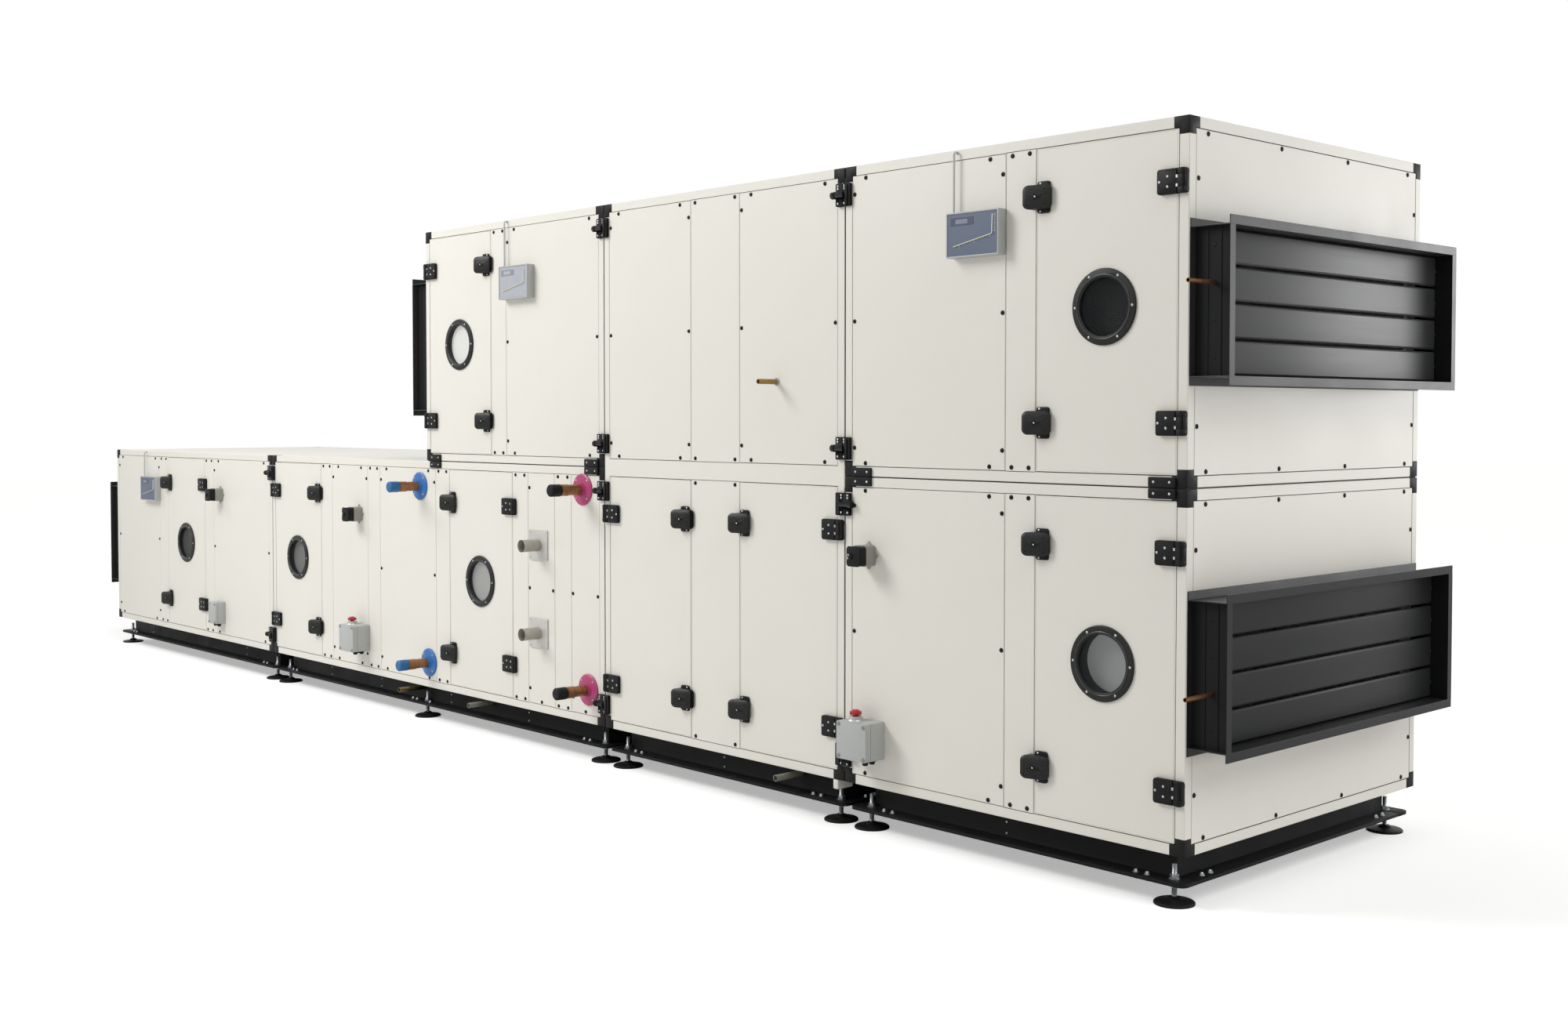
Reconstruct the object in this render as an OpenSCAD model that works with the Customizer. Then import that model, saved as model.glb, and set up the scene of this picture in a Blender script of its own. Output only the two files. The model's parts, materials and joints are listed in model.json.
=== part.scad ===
// Two-deck sectional air handling unit on a levelled steel base.
// Millimetres, +Z up, +X along the unit, doors on the -Y side, floor at Z = 0.

/* [Casing] */
// Depth of the casing, front to back
casing_d = 1320; // [1100:10:1600]
// Height of one deck
deck_h = 1013; // [850:1:1250]
// Length of the left lower section
section_a_l = 2058; // [1800:1:2500]
// Length of the long lower section
section_b_l = 2836; // [2700:1:3500]
// Length of each square section
module_l = 1317; // [1250:1:1600]
// Seam between two sections, filled by a gasket
section_gap = 4; // [2:0.5:8]
// Width of a seam gasket
gasket_w = 24; // [12:1:28]
// Gasket set back from the casing face
gasket_in = 4; // [2:0.5:8]

/* [Frame] */
// Visible face of a frame bar
bar_face = 31; // [26:1:40]
// Depth of a frame bar and of a panel
bar_d = 50; // [44:1:70]
// Depth of the rebate that a panel seats in
rebate = 28; // [22:1:34]
// Chamfer along the outer edge of a frame bar
bar_chamfer = 2; // [0.5:0.5:4]
// Length of a corner piece's leg past a bar's depth
corner_over = 0; // [0:1:20]

/* [Panels] */
// Joint line around a fixed panel
panel_gap = 2; // [1:0.5:4]
// Play between a panel's inner block and the frame lips
plug_gap = 1; // [0.5:0.5:3]
// Folded edge of a panel or door skin
skin_edge = 1.5; // [0.5:0.5:3]
// Width of an upright strip between panels
mullion_w = 113; // [90:1:150]
// Left panel of the left section
a_left_panel_w = 605; // [400:1:800]
// Panel beside the left door of the long section
b_narrow_panel_w = 347; // [200:1:450]
// Two slim panels of the long section
b_slim_panel_w = 190; // [140:1:260]

/* [Doors] */
// Door opening
door_w = 494; // [400:1:560]
// Gap around a door
door_gap = 6; // [5:0.5:10]
// Thickness of the door's outer leaf
door_leaf_t = 22; // [18:1:24]
// Gap around the door's inner block
door_plug_gap = 12; // [9:1:20]
// Distance of handles and hinges from the deck's middle
fitting_z = 330; // [250:5:380]
// Window hole
window_d = 190; // [140:2:260]
// Outside of the window rim
rim_d = 220; // [170:2:300]
// Glass thickness
glass_t = 6; // [4:1:8]
// How far the rim stands out
rim_proud = 7; // [4:1:12]
// Window rim over the glass, and the wall, depth and play of its sleeve
rim_lip = 11; // [8:0.5:14]
rim_sleeve = [5, 12];
rim_play = 0.5; // [0.3:0.1:1]

/* [Hinges] */
// Hinge height
hinge_h = 69; // [50:1:90]
// Hinge leaf on the door
hinge_leaf_w = 62; // [40:1:70]
// Gaps of the leaf and of the bracket to the opening's edge
hinge_split = [2.5, 1.5];
// Hinge thickness
hinge_t = 13; // [11:0.5:14]
// Corner radius of a hinge
hinge_r = 8; // [3:0.5:8]
// Pivot beyond the edge of the opening
pivot_out = 16; // [12:0.5:20]
// Pivot in front of the casing face
pivot_proud = 9; // [8:0.5:14]
// Knuckle radius
knuckle_r = 7; // [5:0.5:8]
// Hinge pin radius
pin_r = 3; // [2:0.25:4]
// Play of the pin and between the knuckles
pin_play = 0.5; // [0.3:0.1:1]

/* [Handles] */
// Width of the handle body
handle_w = 82; // [60:1:90]
// Height of the handle body
handle_h = 70; // [56:1:90]
// How far the handle stands out, at its thick side and at its thin side
handle_proud = 40; // [30:1:60]
handle_low = 17; // [12:1:28]
// Handle base plate and its corner radius
handle_plate = [45, 93, 6];
handle_plate_r = 8; // [4:1:12]
// Base plate in from the door's edge
handle_plate_in = 3; // [1:0.5:8]
// Corner radius of the handle body
handle_r = 15; // [8:1:20]
// Flat top of the thick side, and the radii of the crown across and along the body
handle_top = 6; // [2:1:14]
handle_crown = [200, 74];
// Handle middle, in from the door opening's edge
handle_in = 21; // [12:1:24]

/* [Dampers and duct frames] */
// Overall height of a damper
damper_h = 456; // [380:2:600]
// Overall height of a duct frame
duct_frame_h = 615; // [500:5:700]
// Depth of dampers and duct frames
damper_d = 125; // [100:1:180]
// Side margin of a damper on the casing end
damper_margin = 5; // [0:1:20]
// Flange width
flange_w = 26; // [20:1:40]
// Sheet thickness of the damper channel
sheet_t = 3; // [2:0.5:4]
// Stiffening rib in a damper's side channel, width and height
damper_rib = [4, 2];
// Gap between closed blades
blade_gap = 8; // [6:0.5:14]
// Thickness of a blade
blade_t = 16; // [14:0.5:18]
// Thickness of a blade at its edge
blade_edge_t = 7; // [2:0.5:10]
// Height of the slope along a blade's edge
blade_slope = 5; // [2:0.5:20]
// Gap between a blade's end and the channel
blade_end_gap = 6; // [5:0.5:12]
// Shaft diameter
shaft_d = 12; // [8:0.5:14]
// Play of a shaft in its hole
shaft_play = 0.5; // [0.3:0.1:1]
// Drive spindle in front of the casing face
spindle_reach = 97; // [60:1:140]
// Retaining collar on a drive spindle: diameter, width, gap to the channel
spindle_collar = [22, 8, 1];
// Shaft end past the channel's web
shaft_stub = 10; // [5:1:18]

/* [Base and feet] */
// Casing underside above the floor
base_h = 150; // [135:1:220]
// Height of a base rail
rail_h = 90; // [70:1:110]
// Rail web in from the casing face
rail_in = 72; // [60:1:100]
// Width of the toe of a rail
toe_w = 62; // [55:1:80]
// Thickness of the toe
toe_t = 10; // [6:0.5:14]
// Thickness of the web and the top flange
web_t = 6; // [4:0.5:10]
// Width of the top flange
top_flange_w = 50; // [30:1:80]
// Corner radius of the toe
toe_r = 24; // [5:1:40]
// Longest section that stands on two pairs of feet
foot_span = 2550; // [2500:10:2700]
// Foot in from the section's end
foot_in = 70; // [60:1:120]
// Foot in front of the rail's web
foot_off_web = 15; // [14:1:25]
// Foot disc diameter
foot_d = 116; // [80:1:140]
// Heights of a foot's rim, of its dish at the neck and of the neck
foot_rim_h = 5; // [3:0.5:8]
foot_dish_h = 13; // [10:0.5:16]
foot_neck_h = 20; // [17:1:26]
// Radius of a foot's neck
foot_neck_r = 14.4; // [11:0.1:18]
// Bevel of a foot's rim, in and up, and the foot of its neck
foot_bevel = [4, 3];
foot_neck_out = 9; // [5:0.5:14]
// Stud diameter
stud_d = 16; // [12:1:20]
// Stud end below the casing
stud_drop = 36; // [20:1:50]
// Nut thickness
nut_h = 13; // [8:1:18]
// Nut width across corners
nut_d = 26; // [20:1:28]

/* [Section joints] */
// Clamp over a section seam, and the split between its halves
clamp_plate = [65, 75, 12];
clamp_split = 3; // [2:0.5:6]
// Rib down the right half of a clamp, width and height
clamp_rib = [11, 4];
// Draw bolt of a clamp: diameter and reach of its head, gap to the casing, diameter of its barrel
clamp_head = [24, 14, 2];
clamp_barrel = 19; // [14:1:22]
// Corner radius of clamps and links
clamp_r = 4; // [2:0.5:6]
// Clamp middle from the deck's edge
clamp_z = 90; // [70:1:140]
// Link plate between the decks, and the split between its halves
link_plate = [88, 60, 7];
link_split = 3; // [2:0.5:6]
// Link plate in from the section's end
link_in = 35; // [20:1:60]

/* [Gauges and boxes] */
// Pressure gauge, and the width and height of the rim round its face
gauge = [208, 138, 36];
gauge_rim = [5, 3];
// Corner radius of a gauge
gauge_r = 4; // [2:0.5:8]
// Gauge underside above the deck's underside
gauge_z = 679; // [500:1:800]
// Gauge of the left section, above the deck's underside
gauge_a_z = 727; // [500:1:800]
// Gauge tube radius
tube_r = 3.5; // [2:0.5:6]
// Gauge tube in front of the panel
tube_off = 16; // [12:0.5:18]
// Gauge tube in from the gauge's left edge
tube_in = 15; // [10:1:60]
// Bend at the upper end of the gauge tube
tube_bend = 10; // [9:0.5:12]
// Highest point of the tube's middle below the roof
tube_top_drop = 8; // [6:1:12]
// Safety isolator box and its corner radius
isolator = [132, 124, 90];
isolator_r = 8; // [4:1:12]
// Isolator lid depth, and the depth and width of the seam behind it
isolator_lid = [24, 2, 2];
// Collar under a stop button: diameters below and above, height
stop_collar = [52, 42, 13];
// Stop button diameter
stop_d = 40; // [30:1:50]
// Stop button height above its collar
stop_h = 21; // [15:1:30]
// Finger lobes of a stop button
stop_lobes = 6; // [3:1:8]
// Lamp switch base and its corner radius
switch_base = [60, 68, 45];
switch_r = 12; // [4:1:14]
// Fixing lug of a lamp switch: width, thickness
switch_lug = [24, 5];
// Lamp switch cover, and its waist on each side
switch_cover = [60, 66, 31];
switch_waist = 4; // [1:0.5:8]

/* [Pipes] */
// Front of the pipe ends from the casing face
front_reach = 160; // [150:1:260]
// Coil pipe diameter
coil_pipe_d = 42; // [28:1:54]
// Coil pipe wall
pipe_wall = 2; // [1:0.5:4]
// Pipe cap length
cap_l = 46; // [40:1:80]
// Pipe cap wall and the chamfer of its end
cap_wall = 3; // [2:0.5:5]
cap_chamfer = 4; // [2:0.5:6]
// Soldered coupling behind a cap: diameter, length, distance from the cap
coupling = [46, 36, 2];
// Wall rosette diameter
rosette_d = 125; // [100:1:150]
// Wall rosette thickness, and its neck's wall and height
rosette_t = 10; // [6:1:16]
rosette_neck = [4, 8];
// Slope at the neck's foot, and play of a rosette and of a cap on the pipe
rosette_slope = 2; // [1:0.5:4]
rosette_play = 0.5; // [0.3:0.1:1]
cap_play = 0.3; // [0.1:0.1:0.5]
// Square plate of a steam connection
steam_plate = [128, 124, 6];
steam_plate_r = 4; // [2:1:12]
// Steam connection diameter
steam_pipe_d = 50; // [38:1:60]
// Steam connection length and wall
steam_pipe_l = 88; // [60:1:120]
steam_pipe_wall = 3; // [2:0.5:5]
// Drain pipe diameter
drain_d = 22; // [22:1:40]
// Drain pipe below the casing's underside
drain_drop = 27; // [20:1:40]
// Wall tapping diameter
tapping_d = 18; // [12:1:26]
// Wall tapping length
tapping_l = 87; // [60:1:110]

/* [Hidden] */
$fn = 48;
eps = 0.01;
// Blades in one damper, each a node of its own
blade_count = 4;
// Turn of the gauge tube's bend, past the casing face
tube_turn = 165;
cream = "#E2DFD6";
black_plastic = "#2A2B2C";
black_paint = "#222324";
copper = "#9A5A3C";
brass = "#B79A5A";
grey_plastic = "#A9ADAE";

// Widths that the sizes above lead to
lip = bar_d - bar_face;
corner_leg = bar_d + corner_over;
open_h = deck_h - 2 * bar_face;
deck_pitch = deck_h + section_gap;
total_h = deck_h + deck_pitch;
module_span = module_l - 2 * bar_face;
strip_w = module_span - 2 * door_w;
square_panel_w = module_span - door_w - mullion_w;
a_right_panel_w = section_a_l - 2 * bar_face - a_left_panel_w - 2 * mullion_w - door_w;
b_wide_panel_w = section_b_l - 2 * bar_face - 5 * mullion_w - 2 * door_w
    - b_narrow_panel_w - 2 * b_slim_panel_w;

// Places of the sections along the unit
b_x = section_a_l + section_gap;
c_x = b_x + section_b_l + section_gap;
d_x = c_x + module_l + section_gap;
b_upper_x = c_x - section_gap - module_l;
total_l = d_x + module_l;
rear_reach = clamp_head[0] + clamp_head[2];

// A section: x, z, length, decks, rear panels on each deck
SECTION_A = [0, 0, section_a_l, 1, 2];
SECTION_B = [b_x, 0, section_b_l, 1, 3];
SECTION_C = [c_x, 0, module_l, 2, 2];
SECTION_D = [d_x, 0, module_l, 1, 2];
SECTION_D_UPPER = [d_x, deck_pitch, module_l, 1, 2];
SECTION_B_UPPER = [b_upper_x, deck_pitch, module_l, 1, 2];
SECTIONS = [SECTION_A, SECTION_B, SECTION_C, SECTION_D, SECTION_D_UPPER, SECTION_B_UPPER];
BASE_SECTIONS = [SECTION_A, SECTION_B, SECTION_C, SECTION_D];

// The bays of a front, left to right: kind and width
panel_bay = function(w) ["panel", w];
strip = ["mullion", mullion_w];
door_bay = ["door", door_w];
FRONT_A = [panel_bay(a_left_panel_w), strip, door_bay, strip, panel_bay(a_right_panel_w)];
FRONT_B = [door_bay, strip, panel_bay(b_narrow_panel_w), strip, panel_bay(b_wide_panel_w), strip,
    door_bay, strip, panel_bay(b_slim_panel_w), strip, panel_bay(b_slim_panel_w)];
FRONT_C = [door_bay, ["mullion", strip_w], door_bay];
FRONT_C_UPPER = [panel_bay(door_w), ["mullion", strip_w], panel_bay(door_w)];
FRONT_D = [panel_bay(square_panel_w), strip, door_bay];
FRONT_B_UPPER = [door_bay, strip, panel_bay(square_panel_w)];
// A front: section, deck of that section, bays
FRONTS = [[SECTION_A, 0, FRONT_A], [SECTION_B, 0, FRONT_B], [SECTION_C, 0, FRONT_C], [SECTION_D, 0, FRONT_D],
    [SECTION_C, 1, FRONT_C_UPPER], [SECTION_D_UPPER, 0, FRONT_D], [SECTION_B_UPPER, 0, FRONT_B_UPPER]];

function bay_x(bays, i) = i == 0 ? bar_face : bay_x(bays, i - 1) + bays[i - 1][1];
function in_bay(s, bays, i, dx) = s[0] + bay_x(bays, i) + dx;
function section_h(s) = s[3] * deck_h + (s[3] - 1) * section_gap;
function rear_panel_w(s) = (s[2] - 2 * bar_face - (s[4] - 1) * mullion_w) / s[4];

// A door: left edge of its opening, deck underside, hinge side, window
function door_at(s, bays, i, side, window) = [s[0] + bay_x(bays, i), s[1], side, window];
DOOR_A = door_at(SECTION_A, FRONT_A, 2, "right", true);
DOOR_B_LEFT = door_at(SECTION_B, FRONT_B, 0, "left", true);
DOOR_B_RIGHT = door_at(SECTION_B, FRONT_B, 6, "right", true);
DOOR_C_LEFT = door_at(SECTION_C, FRONT_C, 0, "left", false);
DOOR_C_RIGHT = door_at(SECTION_C, FRONT_C, 2, "right", false);
DOOR_D = door_at(SECTION_D, FRONT_D, 2, "right", true);
DOOR_D_UPPER = door_at(SECTION_D_UPPER, FRONT_D, 2, "right", true);
DOOR_B_UPPER = door_at(SECTION_B_UPPER, FRONT_B_UPPER, 0, "left", true);
UPPER_DOORS = [DOOR_D_UPPER, DOOR_B_UPPER];
ALL_DOORS = concat([DOOR_A, DOOR_B_LEFT, DOOR_B_RIGHT, DOOR_C_LEFT, DOOR_C_RIGHT, DOOR_D], UPPER_DOORS);

// Damper and duct frame openings
damper_open_h = damper_h - 2 * flange_w;
duct_open_h = duct_frame_h - 2 * flange_w;
web_y = damper_margin + flange_w;
blade_pitch = damper_open_h / blade_count;
blade_h = blade_pitch - blade_gap;
blade_x = damper_d / 2;
// Blade that carries the drive spindle, counted from the bottom, on each deck
SPINDLE_BLADE = [1, 2];

// Seams that clamps straddle: x, decks, side of the bolt heads on each deck, clear of the doors
SEAMS = [[b_x, [0], [-1]], [c_x, [0, 1], [-1, -1]], [d_x, [0, 1], [1, -1]]];
// Sections that stand on another one
UPPER_SECTIONS = [SECTION_D_UPPER, SECTION_B_UPPER];

// Fittings on the front: x and z
square_panel_end = d_x + bar_face + square_panel_w;
GAUGES = [[square_panel_end - gauge[0], deck_pitch + gauge_z],
    [b_upper_x + bar_face + door_w + mullion_w, deck_pitch + gauge_z],
    [bar_face + a_left_panel_w - gauge[0] + 12, gauge_a_z]];
GAUGE_ROOFS = [total_h, total_h, deck_h];
ISOLATORS = [[in_bay(SECTION_D, FRONT_D, 0, 19), 100], [in_bay(SECTION_B, FRONT_B, 2, 226), 108],
    [in_bay(SECTION_A, FRONT_A, 4, 2), 92]];
STOP_ISOLATORS = [ISOLATORS[0], ISOLATORS[1]];
SWITCHES = [[in_bay(SECTION_D, FRONT_D, 0, 50), 726], [in_bay(SECTION_B, FRONT_B, 2, 236), 717],
    [in_bay(SECTION_A, FRONT_A, 4, 60), 757]];
COOLING_PIPES = [[in_bay(SECTION_B, FRONT_B, 4, 361), deck_h - 113],
    [in_bay(SECTION_B, FRONT_B, 4, 432), 112]];
HEATING_PIPES = [[in_bay(SECTION_B, FRONT_B, 10, 81), deck_h - 89],
    [in_bay(SECTION_B, FRONT_B, 10, 115), 133]];
COIL_PIPES = concat(COOLING_PIPES, HEATING_PIPES);
STEAM_PIPES = [[in_bay(SECTION_B, FRONT_B, 8, 79), 687], [in_bay(SECTION_B, FRONT_B, 8, 79), 326]];
// A drain: x and tip in front of the casing face
DRAINS = [[b_x + 1359, 57], [b_x + 1923, 46], [c_x + 1036, 53]];
TAPPING = [in_bay(SECTION_C, FRONT_C_UPPER, 2, 195), deck_pitch + 315];

// Feet: x of each pair, and y of the two rows
foot_y = rail_in - foot_off_web;
function foot_xs(s) = s[2] > foot_span
    ? [s[0] + foot_in, s[0] + s[2] / 2, s[0] + s[2] - foot_in]
    : [s[0] + foot_in, s[0] + s[2] - foot_in];

// Casing corner to the part's origin, under the middle of its outline
module place() {
    translate([-total_l / 2, -(casing_d + rear_reach - front_reach) / 2, base_h]) children();
}

// Rounded rectangle, centred
module rounded(w, h, r) {
    square([w - 2 * r, h], center = true);
    square([w, h - 2 * r], center = true);
    for (x = [-1, 1], y = [-1, 1]) translate([x * (w / 2 - r), y * (h / 2 - r)]) circle(r);
}

// Rounded block standing out of the front, its back at y = 0 and its middle at the origin
module front_block(w, h, d, r) {
    rotate([90, 0, 0]) linear_extrude(d) rounded(w, h, r);
}

// Tube along -y from y = 0
module front_tube(d, wall, l) {
    rotate([90, 0, 0]) difference() {
        cylinder(d = d, h = l);
        translate([0, 0, -eps]) cylinder(d = d - 2 * wall, h = l + 2 * eps);
    }
}

// Frame bar cross-section: two rebated faces that meet at the outer edge
module bar_profile() {
    polygon([[bar_chamfer, 0], [bar_face, 0], [bar_face, rebate], [bar_d, rebate], [bar_d, bar_d],
        [rebate, bar_d], [rebate, bar_face], [0, bar_face], [0, bar_chamfer]]);
}

// Copies a child to the four edges of a box side a by b, mirrored into place
module four_corners(a, b) {
    for (i = [0, 1], j = [0, 1]) translate([i * a, j * b]) mirror([i, 0, 0]) mirror([0, j, 0]) children();
}

// The twelve bars of one section
module section_bars(l, h) {
    four_corners(l, casing_d) translate([0, 0, corner_leg]) linear_extrude(h - 2 * corner_leg) bar_profile();
    rotate([90, 0, 90]) four_corners(casing_d, h)
        translate([0, 0, corner_leg]) linear_extrude(l - 2 * corner_leg) bar_profile();
    translate([0, casing_d, 0]) rotate([90, 0, 0]) four_corners(l, h)
        translate([0, 0, corner_leg]) linear_extrude(casing_d - 2 * corner_leg) bar_profile();
}

// Moulded corner with room for the three panels that meet in it
module corner_piece() {
    difference() {
        cube(corner_leg);
        for (turn = [0, 120, 240]) rotate(a = turn, v = [1, 1, 1]) {
            translate([bar_face, -eps, bar_face]) cube([corner_leg, rebate + eps, corner_leg]);
            translate([bar_d, -eps, bar_d]) cube(corner_leg + eps);
        }
    }
}

// Plate with folded front edges, lower left front corner at the origin
module skin(w, h, t) {
    intersection() {
        linear_extrude(h)
            polygon([[0, skin_edge], [skin_edge, 0], [w - skin_edge, 0], [w, skin_edge], [w, t], [0, t]]);
        rotate([90, 0, 90]) linear_extrude(w)
            polygon([[skin_edge, 0], [0, skin_edge], [0, h - skin_edge], [skin_edge, h], [t, h], [t, 0]]);
    }
}

// Insulated panel for an opening w by h: a tongue on the frame lips and a block between them
module panel(w, h) {
    inset = lip + plug_gap;
    translate([panel_gap, 0, panel_gap]) skin(w - 2 * panel_gap, h - 2 * panel_gap, rebate);
    translate([inset, rebate - eps, inset]) cube([w - 2 * inset, bar_d - rebate + eps, h - 2 * inset]);
}

// Upright strip between two openings, with lips behind both
module mullion(w) {
    skin(w, open_h, rebate);
    translate([-lip, rebate, lip]) cube([w + 2 * lip, bar_d - rebate, open_h - 2 * lip]);
}

// Shell of a rear face: turns a front shape to face backwards, from x to x + w
module rear(x, w) {
    translate([x + w, casing_d, 0]) rotate([0, 0, 180]) children();
}

// Copies a child to every front bay of one kind, with its width in $bay_w
module at_bays(kind) {
    for (f = FRONTS) for (i = [0:len(f[2]) - 1]) if (f[2][i][0] == kind) {
        $bay_w = f[2][i][1];
        translate([f[0][0] + bay_x(f[2], i), 0, f[0][1] + f[1] * deck_pitch + bar_face]) children();
    }
}

// Rectangle with its two front corners rounded, centred
module rounded_front(w, d, r) {
    translate([-w / 2, r - d / 2]) square([w, d - r]);
    translate([-w / 2 + r, -d / 2]) square([w - 2 * r, r + eps]);
    for (x = [-1, 1]) translate([x * (w / 2 - r), r - d / 2]) circle(r);
}

module base_side_rails() {
    color(black_paint) place() for (s = BASE_SECTIONS) for (j = [0, 1])
        translate([s[0], j * casing_d, 0]) mirror([0, j, 0]) difference() {
            union() {
                toe_in = rail_in - toe_w;
                translate([s[2] / 2, toe_in + (toe_w + web_t) / 2, -rail_h]) linear_extrude(toe_t)
                    rounded_front(s[2] - 2 * toe_in, toe_w + web_t, toe_r);
                translate([rail_in, rail_in, -rail_h]) cube([s[2] - 2 * rail_in, web_t, rail_h]);
                translate([rail_in, rail_in, -web_t]) cube([s[2] - 2 * rail_in, top_flange_w, web_t]);
            }
            for (x = foot_xs(s)) translate([x - s[0], foot_y, -rail_h - eps])
                cylinder(d = stud_d + 1, h = toe_t + 2 * eps);
        }
}

module base_end_rails() {
    span_in = rail_in + web_t;
    color(black_paint) place() for (s = BASE_SECTIONS) for (i = [0, 1])
        translate([s[0] + i * s[2], span_in, 0]) mirror([i, 0, 0]) {
            translate([rail_in - toe_w, 0, -rail_h]) cube([toe_w + web_t, casing_d - 2 * span_in, toe_t]);
            translate([rail_in, 0, -rail_h]) cube([web_t, casing_d - 2 * span_in, rail_h - web_t]);
        }
}

// Copies a child to every foot, at floor level
module at_feet() {
    for (s = BASE_SECTIONS) for (x = foot_xs(s)) for (y = [foot_y, casing_d - foot_y])
        translate([x, y, -base_h]) children();
}

module foot_discs() {
    r = foot_d / 2;
    color(black_plastic) place() at_feet() rotate_extrude()
        polygon([[0, 0], [r, 0], [r, foot_rim_h], [r - foot_bevel[0], foot_rim_h + foot_bevel[1]],
            [foot_neck_r + foot_neck_out, foot_dish_h], [foot_neck_r, foot_neck_h], [0, foot_neck_h]]);
}

module foot_studs() {
    toe_z = base_h - rail_h;
    color("silver") place() at_feet() {
        translate([0, 0, foot_neck_h]) cylinder(d = stud_d, h = base_h - stud_drop - foot_neck_h);
        translate([0, 0, toe_z - nut_h]) cylinder(d = nut_d, h = nut_h, $fn = 6);
        translate([0, 0, toe_z + toe_t]) cylinder(d = nut_d, h = nut_h, $fn = 6);
    }
}

module frame_bars() {
    color(cream) place() for (s = SECTIONS) translate([s[0], 0, s[1]]) section_bars(s[2], section_h(s));
}

module corner_pieces() {
    color(black_plastic) place() for (s = SECTIONS) translate([s[0], 0, s[1]])
        for (k = [0, 1]) translate([0, 0, k * section_h(s)]) mirror([0, 0, k])
            four_corners(s[2], casing_d) corner_piece();
}

// Rail across the front and back of the tall section, level with the decks' seam
module mid_rails() {
    h = 2 * bar_face + section_gap;
    z = deck_h - bar_face;
    color(cream) place() for (j = [0, 1]) translate([c_x + bar_face, j * casing_d, z]) mirror([0, j, 0]) {
        cube([module_span, rebate, h]);
        translate([lip, rebate, -lip]) cube([module_span - 2 * lip, bar_d - rebate, h + 2 * lip]);
    }
}

// Frame-shaped gasket a by b, thickness t upwards
module gasket_ring(a, b, t) {
    linear_extrude(t) difference() {
        translate([gasket_in, gasket_in]) square([a - 2 * gasket_in, b - 2 * gasket_in]);
        inner = gasket_in + gasket_w;
        translate([inner, inner]) square([a - 2 * inner, b - 2 * inner]);
    }
}

module section_gaskets() {
    color("black") place() {
        for (m = SEAMS) for (k = m[1]) translate([m[0] - section_gap, 0, k * deck_pitch])
            rotate([90, 0, 90]) gasket_ring(casing_d, deck_h, section_gap);
        for (s = UPPER_SECTIONS) translate([s[0], 0, deck_h]) gasket_ring(s[2], casing_d, section_gap);
    }
}

module front_panels() { color(cream) place() at_bays("panel") panel($bay_w, open_h); }

module mullions() {
    color(cream) place() {
        at_bays("mullion") mullion($bay_w);
        for (s = SECTIONS) for (k = [0:s[3] - 1]) for (i = [1:s[4] - 1])
            translate([0, 0, s[1] + k * deck_pitch + bar_face])
                rear(s[0] + bar_face + i * rear_panel_w(s) + (i - 1) * mullion_w, mullion_w)
                    mullion(mullion_w);
    }
}

module rear_panels() {
    color(cream) place() for (s = SECTIONS) for (k = [0:s[3] - 1]) for (i = [0:s[4] - 1])
        translate([0, 0, s[1] + k * deck_pitch + bar_face])
            rear(s[0] + bar_face + i * (rear_panel_w(s) + mullion_w), rear_panel_w(s))
                panel(rear_panel_w(s), open_h);
}

module roof_panels() {
    color(cream) place() for (s = SECTIONS) translate([s[0] + bar_face, bar_face, s[1] + section_h(s)])
        rotate([-90, 0, 0]) panel(s[2] - 2 * bar_face, casing_d - 2 * bar_face);
}

module floor_panels() {
    color(cream) place() for (s = SECTIONS) translate([s[0] + bar_face, casing_d - bar_face, s[1]])
        rotate([90, 0, 0]) panel(s[2] - 2 * bar_face, casing_d - 2 * bar_face);
}

// Two end panels of one deck, below and above a duct opening of the given height
module end_pair(duct_h) {
    h = (open_h - duct_h) / 2;
    for (z = [bar_face, deck_h - bar_face - h]) translate([0, bar_face, z])
        rotate([0, 0, 90]) panel(casing_d - 2 * bar_face, h);
}

module end_panels() {
    color(cream) place() {
        for (k = [0, 1]) translate([total_l, 0, k * deck_pitch]) end_pair(damper_open_h);
        for (s = [SECTION_A, SECTION_B_UPPER]) translate([s[0], casing_d, s[1]])
            rotate([0, 0, 180]) end_pair(duct_open_h);
    }
}

// Outward channel: web along the x axis, flanges along +y at both ends
module channel_profile() {
    square([damper_d, sheet_t]);
    square([sheet_t, flange_w]);
    translate([damper_d - sheet_t, 0]) square([sheet_t, flange_w]);
}

// Upper and lower channel of a frame on a +x end, with its duct opening h high
module frame_rails(h) {
    for (k = [0, 1]) mirror([0, 0, k]) translate([0, casing_d - damper_margin, h / 2])
        rotate([90, 0, 0]) linear_extrude(casing_d - 2 * damper_margin) channel_profile();
}

// Side channels of such a frame, with two ribs
module frame_jambs(h) {
    for (j = [0, 1]) translate([0, j * casing_d, 0]) mirror([0, j, 0]) translate([0, web_y, -h / 2])
        linear_extrude(h) mirror([0, 1, 0]) {
            channel_profile();
            for (x = [damper_d / 3, damper_d * 2 / 3]) translate([x - damper_rib[0] / 2, sheet_t - eps])
                square([damper_rib[0], damper_rib[1] + eps]);
        }
}

// Copies a child to both right-end dampers, their middle at the child's origin
module at_dampers() {
    for (k = [0, 1]) translate([total_l, 0, k * deck_pitch + deck_h / 2]) children();
}

// Copies a child to both left ends, turned to face left
module at_duct_frames() {
    for (s = [SECTION_A, SECTION_B_UPPER]) translate([s[0], 0, s[1] + deck_h / 2])
        mirror([1, 0, 0]) children();
}

function blade_z(i) = (i + 0.5) * blade_pitch - damper_open_h / 2;

module duct_frame_rails() {
    color(black_paint) place() {
        at_dampers() frame_rails(damper_open_h);
        at_duct_frames() frame_rails(duct_open_h);
    }
}

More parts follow.
